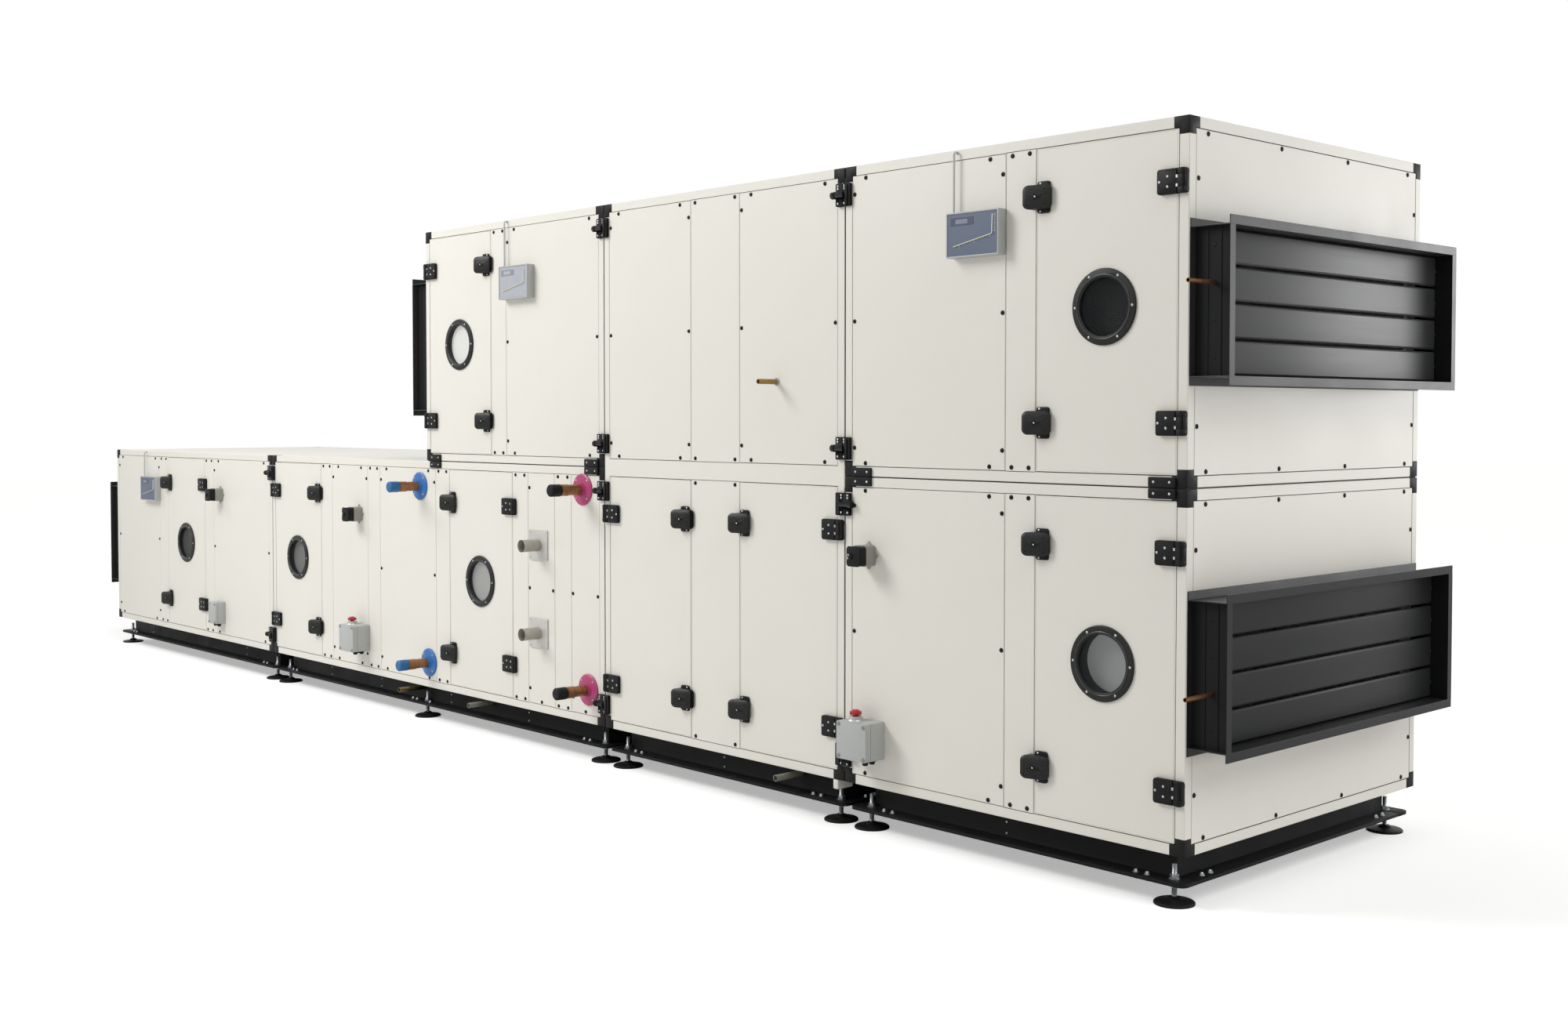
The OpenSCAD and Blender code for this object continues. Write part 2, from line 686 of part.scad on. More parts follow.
// Side channels, drilled for the blade shafts on the damper end
module duct_frame_jambs() {
    color(black_paint) place() {
        at_dampers() difference() {
            frame_jambs(damper_open_h);
            for (i = [0:blade_count - 1]) translate([blade_x, casing_d + eps, blade_z(i)])
                rotate([90, 0, 0]) cylinder(d = shaft_d + 2 * shaft_play, h = casing_d + 2 * eps);
        }
        at_duct_frames() frame_jambs(duct_open_h);
    }
}

// Hollow-section damper blade on its shaft, counted from the bottom of deck k
module blade(k, i) {
    end_y = web_y + blade_end_gap;
    stub_y = web_y - sheet_t - shaft_stub;
    front_y = i == SPINDLE_BLADE[k] ? -spindle_reach : stub_y;
    e = blade_edge_t / 2;
    flat = blade_h / 2 - blade_slope;
    color("#4A4B4D") place() translate([total_l + blade_x, 0, k * deck_pitch + deck_h / 2 + blade_z(i)]) {
        translate([0, casing_d - end_y, 0]) rotate([90, 0, 0]) linear_extrude(casing_d - 2 * end_y)
            polygon([[e, -blade_h / 2], [blade_t / 2, -flat], [blade_t / 2, flat], [e, blade_h / 2],
                [-e, blade_h / 2], [-blade_t / 2, flat], [-blade_t / 2, -flat], [-e, -blade_h / 2]]);
        translate([0, casing_d - stub_y, 0])
            rotate([90, 0, 0]) cylinder(d = shaft_d, h = casing_d - stub_y - front_y);
        if (i == SPINDLE_BLADE[k]) translate([0, web_y - sheet_t - spindle_collar[2], 0])
            rotate([90, 0, 0]) cylinder(d = spindle_collar[0], h = spindle_collar[1]);
    }
}

// Copies a child to a door, with the hinge side at x = 0 and the opening along +x
module at_door(d) {
    z = d[1] + bar_face;
    if (d[2] == "left") translate([d[0], 0, z]) children();
    else translate([d[0] + door_w, 0, z]) mirror([1, 0, 0]) children();
}

// Copies a child to the middle of a door's window
module at_window() { translate([door_w / 2, 0, open_h / 2]) children(); }

// Copies a child to the heights of the handles and hinges
module at_fittings() { for (k = [-1, 1]) translate([0, 0, open_h / 2 + k * fitting_z]) children(); }

// Door leaf with an insulated block behind it
module door_leaf(d) {
    inset = lip + door_plug_gap;
    color(cream) place() at_door(d) difference() {
        union() {
            translate([door_gap, 0, door_gap])
                skin(door_w - 2 * door_gap, open_h - 2 * door_gap, door_leaf_t);
            translate([inset, door_leaf_t - eps, inset])
                cube([door_w - 2 * inset, bar_d - door_leaf_t + eps, open_h - 2 * inset]);
        }
        if (d[3]) at_window() translate([0, -eps, 0])
            rotate([-90, 0, 0]) cylinder(d = window_d, h = bar_d + 2 * eps);
    }
}

// Window rim: a flange on the door skin and a sleeve in the hole
module window_rim() {
    sleeve_r = window_d / 2 - rim_play;
    in_r = sleeve_r - rim_lip;
    bore_r = sleeve_r - rim_sleeve[0];
    slope = rim_proud / 3;
    rotate([90, 0, 0]) rotate_extrude() polygon([[in_r, 0], [in_r, rim_proud - slope],
        [in_r + slope, rim_proud], [rim_d / 2 - slope, rim_proud], [rim_d / 2, rim_proud - slope],
        [rim_d / 2, 0], [sleeve_r, 0], [sleeve_r, -rim_sleeve[1]], [bore_r, -rim_sleeve[1]], [bore_r, 0]]);
}

// Compression handle: a screwed base plate and a body that reaches over the strip
module handle() {
    plate_x = -door_gap - handle_plate_in - handle_plate[0] / 2;
    translate([plate_x, 0, 0]) front_block(handle_plate[0], handle_plate[1], handle_plate[2], handle_plate_r);
    high = [handle_w / 2 - handle_top, -handle_proud];
    low = [-handle_w / 2, -handle_low];
    chord = high - low;
    inward = [-chord[1], chord[0]] / norm(chord);
    to_axis = sqrt(handle_crown[0] ^ 2 - norm(chord) ^ 2 / 4);
    crest = handle_crown[0] - to_axis;
    across = (high + low) / 2 + inward * to_axis;
    along = (high + low) / 2 + inward * (handle_crown[1] - crest);
    translate([-handle_in, 0, 0]) intersection() {
        translate([0, eps - handle_plate[2], 0])
            front_block(handle_w, handle_h, handle_proud - handle_plate[2], handle_r);
        translate([across[0], across[1], -handle_h])
            cylinder(r = handle_crown[0], h = 2 * handle_h, $fn = 180);
        translate([along[0], along[1], 0]) rotate([0, 0, atan2(chord[1], chord[0])])
            translate([-handle_w, 0, 0]) rotate([0, 90, 0])
                cylinder(r = handle_crown[1], h = 2 * handle_w, $fn = 96);
    }
}

// Door half of a hinge: leaf, arm and middle knuckle on the pivot
module hinge_leaf() {
    knuckle_h = hinge_h / 2 - 2 * pin_play;
    leaf_x = hinge_split[0];
    difference() {
        union() {
            translate([leaf_x + hinge_leaf_w / 2, 0, 0]) front_block(hinge_leaf_w, hinge_h, hinge_t, hinge_r);
            translate([leaf_x, -hinge_t, -hinge_h / 2]) cube([hinge_leaf_w / 2, hinge_t, hinge_h]);
            translate([-pivot_out, -hinge_t, -knuckle_h / 2])
                cube([pivot_out + leaf_x + hinge_r, knuckle_r, knuckle_h]);
            translate([-pivot_out, -pivot_proud, -knuckle_h / 2]) cylinder(r = knuckle_r, h = knuckle_h);
        }
        translate([-pivot_out, -pivot_proud, -hinge_h]) cylinder(r = pin_r + pin_play, h = 2 * hinge_h);
    }
}

// Frame half of a hinge: two knuckles on feet, joined by the pin
module hinge_bracket() {
    lug_h = hinge_h / 4;
    lug_w = 2 * (pivot_out - hinge_split[1]);
    translate([-pivot_out, -pivot_proud, -hinge_h / 2]) cylinder(r = pin_r, h = hinge_h);
    for (k = [-1, 1]) translate([-pivot_out, -pivot_proud, k * (hinge_h - lug_h) / 2 - lug_h / 2])
        cylinder(r = knuckle_r, h = lug_h);
    difference() {
        union() {
            translate([-pivot_out, 0, 0]) front_block(lug_w, hinge_h, hinge_t, hinge_r);
            translate([-pivot_out, -hinge_t, -hinge_h / 2]) cube([lug_w / 2, hinge_t, hinge_h]);
        }
        translate([-2 * pivot_out, -2 * hinge_t, lug_h - hinge_h / 2])
            cube([2 * pivot_out, 3 * hinge_t, hinge_h - 2 * lug_h]);
    }
}

module door_fittings(d) {
    color(black_plastic) place() at_door(d) {
        at_fittings() translate([door_w, 0, 0]) handle();
        at_fittings() hinge_leaf();
        if (d[3]) at_window() window_rim();
    }
}

module door_glass(d) {
    color("#8C9496") place() at_door(d) at_window()
        rotate([-90, 0, 0]) cylinder(d = window_d - 2 * (rim_sleeve[0] + 2 * rim_play), h = glass_t);
}

module upper_doors() { for (d = UPPER_DOORS) door_leaf(d); }

module upper_door_fittings() { for (d = UPPER_DOORS) door_fittings(d); }

module upper_door_glass() { for (d = UPPER_DOORS) door_glass(d); }

module hinge_brackets() {
    color(black_plastic) place() for (d = ALL_DOORS) at_door(d) at_fittings() hinge_bracket();
}

// Draw clamp: a half on each section, pulled together by a bolt whose head stands out on +x
module section_clamp() {
    half_w = (clamp_plate[0] - clamp_split) / 2;
    half_x = (half_w + clamp_split) / 2;
    bolt_y = -clamp_head[2] - clamp_head[0] / 2;
    for (x = [-half_x, half_x]) translate([x, 0, 0])
        front_block(half_w, clamp_plate[1], clamp_plate[2], clamp_r);
    translate([-half_x, eps - clamp_plate[2], 0])
        front_block(clamp_rib[0], clamp_plate[1] - 2 * clamp_r, clamp_rib[1], clamp_rib[1]);
    translate([-clamp_split - clamp_r, bolt_y, 0]) rotate([0, 90, 0])
        cylinder(d = clamp_barrel, h = clamp_plate[0] / 2 + clamp_split + clamp_r + eps);
    translate([clamp_plate[0] / 2, bolt_y, 0]) rotate([0, 90, 0])
        cylinder(d = clamp_head[0], h = clamp_head[1]);
}

// The clamps of every seam, on the front and the back
module section_clamps() {
    color(black_plastic) place() for (j = [0, 1]) translate([0, j * casing_d, 0]) mirror([0, j, 0])
        for (m = SEAMS) for (k = m[1]) for (z = [clamp_z, deck_h - clamp_z])
            translate([m[0] - section_gap / 2, 0, k * deck_pitch + z]) scale([m[2][k], 1, 1]) section_clamp();
}

// Two plates that tie an upper section to the one below, near each end
module deck_links() {
    half_h = (link_plate[1] - link_split) / 2;
    color(black_plastic) place() for (j = [0, 1]) translate([0, j * casing_d, 0]) mirror([0, j, 0])
        for (s = UPPER_SECTIONS) for (x = [link_in, s[2] - link_in - link_plate[0]]) for (k = [-1, 1])
            translate([s[0] + x + link_plate[0] / 2, 0, deck_h + section_gap / 2])
                translate([0, 0, k * (half_h + link_split) / 2])
                    front_block(link_plate[0], half_h, link_plate[2], clamp_r);
}

// Gauge housing with a rim round its sunk face
module pressure_gauges() {
    face_w = gauge[0] - 2 * gauge_rim[0];
    face_h = gauge[1] - 2 * gauge_rim[0];
    color("#7D8FA3") place() for (g = GAUGES) translate([g[0] + gauge[0] / 2, 0, g[1] + gauge[1] / 2])
        difference() {
            front_block(gauge[0], gauge[1], gauge[2], gauge_r);
            translate([0, gauge_rim[1] - gauge[2], 0]) front_block(face_w, face_h, gauge[2], gauge_r / 2);
        }
}

// Tube from a gauge up the panel that bends over into the frame bar
module gauge_tubes() {
    color("#D8DADA") place() for (i = [0:len(GAUGES) - 1]) {
        bottom = GAUGES[i][1] + gauge[1];
        bend_z = GAUGE_ROOFS[i] - tube_top_drop - tube_bend;
        translate([GAUGES[i][0] + tube_in, 0, 0]) difference() {
            union() {
                translate([0, -tube_off, bottom]) cylinder(r = tube_r, h = bend_z - bottom);
                translate([0, tube_bend - tube_off, bend_z]) rotate([90, 0, -90])
                    rotate_extrude(angle = tube_turn) translate([tube_bend, 0]) circle(tube_r);
            }
            translate([-tube_bend, 0, bottom]) cube([2 * tube_bend, bar_d, deck_h]);
        }
    }
}

// Isolator box with a seam behind its lid
module isolator_box() {
    seam_y = isolator_lid[0] + isolator_lid[1] - isolator[2];
    difference() {
        front_block(isolator[0], isolator[1], isolator[2], isolator_r);
        translate([0, seam_y, 0]) difference() {
            front_block(2 * isolator[0], 2 * isolator[1], isolator_lid[1], isolator_r);
            translate([0, isolator_lid[1], 0]) front_block(isolator[0] - 2 * isolator_lid[2],
                isolator[1] - 2 * isolator_lid[2], 3 * isolator_lid[1], isolator_r - isolator_lid[2]);
        }
    }
}

// Lamp switch base with a fixing lug above, below and on the right
module switch_body() {
    front_block(switch_base[0], switch_base[1], switch_base[2], switch_r);
    lug_z = switch_base[1] / 2;
    for (at = [[0, lug_z], [0, -lug_z], [switch_base[0] / 2, 0]]) translate([at[0], 0, at[1]])
        rotate([90, 0, 0]) cylinder(d = switch_lug[0], h = switch_lug[1], $fn = 4);
}

// Copies a child to the top of each isolator with a stop button
module at_stops() {
    for (b = STOP_ISOLATORS)
        translate([b[0] + isolator[0] / 3, -isolator[2] / 2, b[1] + isolator[1]]) children();
}

// Safety isolator boxes with their collars, and the bases of the lamp switches
module switch_boxes() {
    color(grey_plastic) place() {
        for (b = ISOLATORS) translate([b[0] + isolator[0] / 2, 0, b[1] + isolator[1] / 2]) isolator_box();
        at_stops() translate([0, 0, -eps])
            cylinder(d1 = stop_collar[0], d2 = stop_collar[1], h = stop_collar[2] + eps);
        for (b = SWITCHES) translate([b[0] + switch_base[0] / 2, 0, b[1] + switch_base[1] / 2]) switch_body();
    }
}

// Lobed mushroom button on a neck
module stop_buttons() {
    lobe_r = stop_d / 5;
    hub_d = stop_d - lobe_r;
    step = stop_h / 4;
    color("red") place() at_stops() translate([0, 0, stop_collar[2]]) {
        cylinder(d = stop_d / 2, h = 2 * step);
        translate([0, 0, step]) linear_extrude(2 * step) {
            circle(d = hub_d);
            for (i = [0:stop_lobes - 1]) rotate(i * 360 / stop_lobes)
                translate([stop_d / 2 - lobe_r, 0]) circle(lobe_r);
        }
        translate([0, 0, 3 * step - eps]) cylinder(d1 = hub_d, d2 = stop_d / 2, h = step + eps);
    }
}

// Lamp switch cover, drawn in at its waist
module switch_covers() {
    top = switch_cover[1] / 2;
    waist = top - switch_waist;
    mid = switch_cover[2] / 2;
    color(black_plastic) place() for (b = SWITCHES)
        translate([b[0] + switch_base[0] / 2, -switch_base[2], b[1] + switch_base[1] / 2]) intersection() {
            front_block(switch_cover[0], switch_cover[1], switch_cover[2], switch_r);
            translate([-switch_cover[0] / 2, 0, 0]) rotate([90, 0, 90]) linear_extrude(switch_cover[0])
                polygon([[0, top], [-mid, waist], [-2 * mid, top],
                    [-2 * mid, -top], [-mid, -waist], [0, -top]]);
        }
}

// Copies a child to the given wall points
module at_points(points) { for (p = points) translate([p[0], 0, p[1]]) children(); }

module coil_pipes() {
    color(copper) place() at_points(COIL_PIPES) {
        front_tube(coil_pipe_d, pipe_wall, front_reach - cap_wall);
        translate([0, cap_l + coupling[1] + coupling[2] - front_reach, 0])
            front_tube(coupling[0], (coupling[0] - coil_pipe_d) / 2 + pipe_wall / 2, coupling[1]);
    }
}

// Wall rosette with a neck round the pipe
module rosette() {
    bore_r = coil_pipe_d / 2 + rosette_play;
    neck_r = bore_r + rosette_neck[0];
    neck_z = rosette_t + rosette_neck[1];
    rotate([90, 0, 0]) rotate_extrude()
        polygon([[bore_r, 0], [rosette_d / 2, 0], [rosette_d / 2, rosette_t / 2],
            [rosette_d / 2 - rosette_t / 2, rosette_t * 4 / 5], [neck_r + rosette_slope, rosette_t],
            [neck_r, neck_z], [bore_r, neck_z]]);
}

module cooling_rosettes() { color("#3E7FC4") place() at_points(COOLING_PIPES) rosette(); }

module heating_rosettes() { color("#D6448C") place() at_points(HEATING_PIPES) rosette(); }

module pipe_caps() {
    r = coil_pipe_d / 2 + cap_play;
    color(black_plastic) place() at_points(COIL_PIPES) translate([0, cap_l - front_reach, 0])
        rotate([90, 0, 0]) rotate_extrude()
            polygon([[r, 0], [r + cap_wall, 0], [r + cap_wall, cap_l - cap_chamfer],
                [r + cap_wall - cap_chamfer, cap_l], [0, cap_l], [0, cap_l - cap_wall], [r, cap_l - cap_wall]]);
}

// Square wall plate with an open pipe stub
module steam_plates() {
    color("#B9BBB6") place() at_points(STEAM_PIPES) {
        front_block(steam_plate[0], steam_plate[1], steam_plate[2], steam_plate_r);
        translate([0, eps - steam_plate[2], 0])
            front_tube(steam_pipe_d, steam_pipe_wall, steam_pipe_l - steam_plate[2]);
    }
}

// Drain pipes out of the base, and a tapping on the tall section
module drain_pipes() {
    color(brass) place() {
        for (d = DRAINS) translate([d[0], rail_in, -drain_drop])
            front_tube(drain_d, pipe_wall, rail_in + d[1]);
        at_points([TAPPING]) front_tube(tapping_d, pipe_wall, tapping_l);
    }
}

base_side_rails();
base_end_rails();
foot_discs();
foot_studs();
frame_bars();
corner_pieces();
mid_rails();
section_gaskets();
front_panels();
mullions();
rear_panels();
roof_panels();
floor_panels();
end_panels();
duct_frame_rails();
duct_frame_jambs();
upper_doors();
upper_door_fittings();
upper_door_glass();
hinge_brackets();
section_clamps();
deck_links();
pressure_gauges();
gauge_tubes();
switch_boxes();
stop_buttons();
switch_covers();
coil_pipes();
cooling_rosettes();
heating_rosettes();
pipe_caps();
steam_plates();
drain_pipes();
door_leaf(DOOR_A);  // door_a
door_fittings(DOOR_A);  // door_a_fittings
door_glass(DOOR_A);  // door_a_glass
door_leaf(DOOR_B_LEFT);  // door_b_left
door_fittings(DOOR_B_LEFT);  // door_b_left_fittings
door_glass(DOOR_B_LEFT);  // door_b_left_glass
door_leaf(DOOR_B_RIGHT);  // door_b_right
door_fittings(DOOR_B_RIGHT);  // door_b_right_fittings
door_glass(DOOR_B_RIGHT);  // door_b_right_glass
door_leaf(DOOR_C_LEFT);  // door_c_left
door_fittings(DOOR_C_LEFT);  // door_c_left_fittings
door_leaf(DOOR_C_RIGHT);  // door_c_right
door_fittings(DOOR_C_RIGHT);  // door_c_right_fittings
door_leaf(DOOR_D);  // door_d
door_fittings(DOOR_D);  // door_d_fittings
door_glass(DOOR_D);  // door_d_glass
blade(0, 0);  // blade_lower_1
blade(0, 1);  // blade_lower_2
blade(0, 2);  // blade_lower_3
blade(0, 3);  // blade_lower_4
blade(1, 0);  // blade_upper_1
blade(1, 1);  // blade_upper_2
blade(1, 2);  // blade_upper_3
blade(1, 3);  // blade_upper_4
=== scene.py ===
# %% [markdown]
# # Dressing an air handling unit
# The imported CAD model holds every real shape of this machine: casing, doors, dampers, pipes, base.
# Blender adds what the eye needs: finishes, softened edges, screws, threads, gauge faces and seals.
# The frame is loaded first and never moved.

# %% Load the frame
import json
import math

import bmesh
import bpy
from mathutils import Euler, Matrix, Vector


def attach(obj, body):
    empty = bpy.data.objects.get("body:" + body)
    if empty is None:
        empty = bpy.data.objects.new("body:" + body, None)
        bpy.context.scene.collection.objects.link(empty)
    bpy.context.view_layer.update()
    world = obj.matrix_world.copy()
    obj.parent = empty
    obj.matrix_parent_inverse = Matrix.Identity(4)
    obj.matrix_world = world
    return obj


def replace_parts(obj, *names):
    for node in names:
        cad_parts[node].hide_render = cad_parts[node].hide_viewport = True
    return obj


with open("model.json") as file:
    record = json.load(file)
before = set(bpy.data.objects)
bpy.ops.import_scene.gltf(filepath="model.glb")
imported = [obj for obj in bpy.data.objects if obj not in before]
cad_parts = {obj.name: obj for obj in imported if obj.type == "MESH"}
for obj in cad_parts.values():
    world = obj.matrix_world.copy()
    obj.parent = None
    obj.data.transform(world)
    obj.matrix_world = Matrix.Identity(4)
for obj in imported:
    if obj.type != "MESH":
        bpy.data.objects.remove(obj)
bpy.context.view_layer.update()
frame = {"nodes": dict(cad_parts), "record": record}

# %% [markdown]
# ## One set of coordinates
# A fitter measures such a unit from the lower left front corner of its casing, in millimetres.
# All new pieces are built in those casing millimetres, and one matrix takes them to the frame in metres.

# %% Casing millimetres to frame metres
CASING_D = 1320
DECK_H = 1013
DECK_PITCH = 1017
BAR_FACE = 31
TOTAL_L = 7540
TOTAL_H = 2030
CASING_TO_FRAME = Matrix.Translation((-3.770, -0.593, 0.150)) @ Matrix.Scale(0.001, 4)
corner = CASING_TO_FRAME @ Vector((TOTAL_L, 0, TOTAL_H))
print("upper right front corner of the casing, in metres:", [round(v, 3) for v in corner])

# %% [markdown]
# ## The camera
# The picture was taken at chest height, a few steps off the right front corner, with a normal lens.
# The place, the turn and the lens come from the straight edges of the casing. The frame was cropped a
# little off the lens axis, which is what the small vertical shift is for.

# %% Camera at the photograph's place
view = bpy.data.cameras.new("photo_view")
view.lens = 38.21
view.sensor_width = 36
view.shift_y = -0.0269
view.clip_end = 300
camera = bpy.data.objects.new("photo_view", view)
camera.location = (6.343, -4.479, 1.362)
camera.rotation_euler = Euler((math.radians(90 - 1.747), 0, math.radians(47.14)))
bpy.context.scene.collection.objects.link(camera)
bpy.context.scene.camera = camera
print("camera at", [round(v, 2) for v in camera.location])

# %% [markdown]
# ## Nodes and colours
# Every finish is made of a few shader nodes. One helper adds a node with its settings and links, and one
# function turns a colour as a designer writes it, in sRGB hex, into the linear numbers that Blender uses.
# A pattern then drives colour and gloss together, because a darker spot is often a duller one too.

# %% Helpers for finishes
def add(tree, kind, settings=None, links=None):
    made = tree.nodes.new(kind)
    for name, value in (settings or {}).items():
        if isinstance(name, int) or name in made.inputs:
            made.inputs[name].default_value = value
        else:
            setattr(made, name, value)
    for name, output in (links or {}).items():
        tree.links.new(output, made.inputs[name])
    return made


def linear(hex_colour):
    parts = [int(hex_colour[i:i + 2], 16) / 255 for i in (1, 3, 5)]
    return [p / 12.92 if p <= 0.04045 else ((p + 0.055) / 1.055) ** 2.4 for p in parts] + [1.0]


def start_finish(name, sockets=None):
    material = bpy.data.materials.new(name)
    material.use_nodes = True
    shader = material.node_tree.nodes["Principled BSDF"]
    for socket, value in (sockets or {}).items():
        shader.inputs[socket].default_value = value
    place = add(material.node_tree, "ShaderNodeTexCoord").outputs["Object"]
    return material, material.node_tree, shader, place


def colour_by(pattern, tree, shader, light, dark, rough=None, span=(0.0, 1.0)):
    """A pattern swings the colour between two tones and, with rough, the gloss with it."""
    tone = add(tree, "ShaderNodeMix", {"data_type": "RGBA", 6: linear(light), 7: linear(dark)}, {0: pattern})
    tree.links.new(tone.outputs[2], shader.inputs["Base Color"])
    if rough:
        ends = {"From Min": span[0], "From Max": span[1], "To Min": rough[0], "To Max": rough[1]}
        gloss = add(tree, "ShaderNodeMapRange", ends, {"Value": pattern})
        tree.links.new(gloss.outputs["Result"], shader.inputs["Roughness"])


print("cream in linear light:", [round(v, 3) for v in linear("#E4E1D9")])

# %% [markdown]
# ## Studio
# The unit stands on a white floor in soft studio light. A wide lamp panel high on the left front is the
# brightest source: it makes the upper middle of the front the palest part, and the near right end darker.
# A wide soft sun from the left throws the handles' shadows to the right, and a second one lights the
# damper end from above. A lamp panel behind the right end makes that end paler towards its upper rear
# corner and another fills it from the side. The world is white to the eye and in reflections, and a softer
# grey where it lights the object. The floor adds a little light of its own for the camera, so that it stays
# white and keeps the shadow.

# %% World, lamps and floor
bpy.context.scene.view_settings.view_transform = "Standard"
world = bpy.data.worlds.new("studio")
bpy.context.scene.world = world
world.use_nodes = True
sky = world.node_tree
path = add(sky, "ShaderNodeLightPath").outputs
seen = add(sky, "ShaderNodeMath", {"operation": "MAXIMUM"},
           {0: path["Is Camera Ray"], 1: path["Is Glossy Ray"]})
seen = add(sky, "ShaderNodeMath", {"operation": "MAXIMUM"},
           {0: seen.outputs[0], 1: path["Is Transmission Ray"]})
WORLD_LIGHT = 0.30
level = add(sky, "ShaderNodeMapRange", {"To Min": WORLD_LIGHT, "To Max": 1.0}, {"Value": seen.outputs[0]})
sky.links.new(level.outputs["Result"], sky.nodes["Background"].inputs["Strength"])
sky.nodes["Background"].inputs["Color"].default_value = (1, 1, 1, 1)

# Suns: strength, spread and turn in degrees
SUNS = {"key": (0.62, 18, (50, 0, -52)), "end_light": (0.9, 40, (40, 0, 90))}
for name, (strength, spread, turn) in SUNS.items():
    lamp = bpy.data.lights.new(name, "SUN")
    lamp.energy = strength
    lamp.angle = math.radians(spread)
    sun = bpy.data.objects.new(name, lamp)
    sun.rotation_euler = [math.radians(t) for t in turn]
    bpy.context.scene.collection.objects.link(sun)

# Lamp panels: power, width, height, place, aim
PANELS = {
    "front_panel": (198, 3.0, 2.2, (-1.5, -4.8, 4.7), (0.2, -0.6, 1.9)),
    "rear_end_panel": (32, 1.6, 1.4, (5.4, 3.6, 1.9), (3.9, 0.3, 1.4)),
    "end_fill_panel": (38, 2.0, 1.5, (8.5, 0.8, 1.0), (3.8, 0.1, 1.0)),
}
for name, (power, wide, high, place, aim) in PANELS.items():
    lamp = bpy.data.lights.new(name, "AREA")
    lamp.energy = power
    lamp.shape = "RECTANGLE"
    lamp.size = wide
    lamp.size_y = high
    panel = bpy.data.objects.new(name, lamp)
    panel.location = place
    panel.rotation_euler = (Vector(aim) - panel.location).to_track_quat("-Z", "Y").to_euler()
    bpy.context.scene.collection.objects.link(panel)

FLOOR_GLOW = 0.40
white_floor, tree, shader, place = start_finish("matt_white_floor",
                                                {"Roughness": 0.9, "Emission Color": (1, 1, 1, 1)})
dapple = add(tree, "ShaderNodeTexNoise", {"Scale": 0.4}, {"Vector": place})
colour_by(dapple.outputs["Fac"], tree, shader, "#ECECEA", "#F0F0EF")
glow = add(tree, "ShaderNodeMath", {"operation": "MULTIPLY", 1: FLOOR_GLOW},
           {0: add(tree, "ShaderNodeLightPath").outputs["Is Camera Ray"]})
tree.links.new(glow.outputs[0], shader.inputs["Emission Strength"])

ground = bmesh.new()
bmesh.ops.create_grid(ground, x_segments=2, y_segments=2, size=120)
floor_mesh = bpy.data.meshes.new("studio_floor")
ground.to_mesh(floor_mesh)
ground.free()
floor_mesh.materials.append(white_floor)
floor = bpy.data.objects.new("studio_floor", floor_mesh)
bpy.context.scene.collection.objects.link(floor)
print("studio:", len(SUNS), "suns,", len(PANELS), "lamp panels, a world and a floor")

# %% [markdown]
# ## Powder coat
# The casing is steel sheet with a cream polyester powder coat. Baked powder flows into a fine waviness,
# called orange peel, that softens reflections, and its tone drifts a little from sheet to sheet. Real
# peel waves are about 3 mm long, too fine for this picture, so they are drawn at 9 mm.

# %% Cream powder coat and its relatives
def mottled(name, light, dark, mottle_mm, grain_mm, grain_depth_mm, rough, sockets=None):
    material, tree, shader, place = start_finish(name, sockets)
    mottle = add(tree, "ShaderNodeTexNoise", {"Scale": 1000 / mottle_mm, "Detail": 5.0, "Roughness": 0.62},
                 {"Vector": place})
    colour_by(mottle.outputs["Fac"], tree, shader, light, dark, rough, (0.3, 0.7))
    grain = add(tree, "ShaderNodeTexNoise", {"Scale": 1000 / grain_mm, "Detail": 2.0}, {"Vector": place})
    bump = add(tree, "ShaderNodeBump", {"Strength": 0.6, "Distance": grain_depth_mm / 1000},
               {"Height": grain.outputs["Fac"]})
    tree.links.new(bump.outputs["Normal"], shader.inputs["Normal"])
    return material


# Semi-gloss cream polyester powder: broad soft highlights, hardly any colour drift
cream_powder = mottled("cream_powder_coat", "#E6E3DB", "#DFDCD3", 420, 9, 0.10, (0.36, 0.46))
# Black powder on the rolled base angles: coarser and a little dusty, so it greys in places
base_powder = mottled("black_powder_coat", "#0E0F0F", "#181919", 160, 7, 0.12, (0.50, 0.65),
                      {"Specular IOR Level": 0.14})
# Satin anthracite paint on folded damper and duct sheet
damper_paint = mottled("anthracite_satin_paint", "#1E1F1F", "#262727", 210, 8, 0.06, (0.32, 0.42),
                       {"Specular IOR Level": 0.22})
# The upper damper's copy is painted paler, a painted reflection of its brighter surroundings, and has more
# shine
damper_paint_with_painted_reflection = mottled("anthracite_paint_with_painted_reflection", "#2A2B2B", "#323333", 210, 8, 0.06, (0.32, 0.42),
                            {"Specular IOR Level": 0.36})
print("powder coats:", cream_powder.name, base_powder.name, damper_paint.name)

# %% [markdown]
# ## Moulded plastics and rubber
# Handles, hinges and corners are glass-filled nylon, boxes are ABS and seals are EPDM rubber. Moulded parts
# carry the fine spark-eroded texture of their tool, about half a millimetre, drawn at 2 mm here.

# %% Plastics and rubber
def black_nylon(name, light, dark, grain_depth_mm, rough, specular):
    return mottled(name, light, dark, 60, 2, grain_depth_mm, rough, {"Specular IOR Level": specular})


# Glass-filled nylon: deep black with a dull shine. The grips' copy is a little brighter in colour, a painted
# sheen of the sky on their curved faces, and shinier
nylon = black_nylon("black_moulded_nylon", "#121312", "#1B1C1B", 0.10, (0.40, 0.54), 0.15)
grip_nylon_with_painted_sheen = black_nylon("black_nylon_with_painted_sheen", "#161716", "#20211F", 0.10, (0.38, 0.50), 0.26)
# Window rims and lips come out of a polished tool
rim_nylon = black_nylon("glossy_rim_nylon", "#191A18", "#222321", 0.05, (0.30, 0.40), 0.26)
lip_nylon = black_nylon("polished_lip_nylon", "#20211F", "#292A28", 0.02, (0.16, 0.24), 0.6)
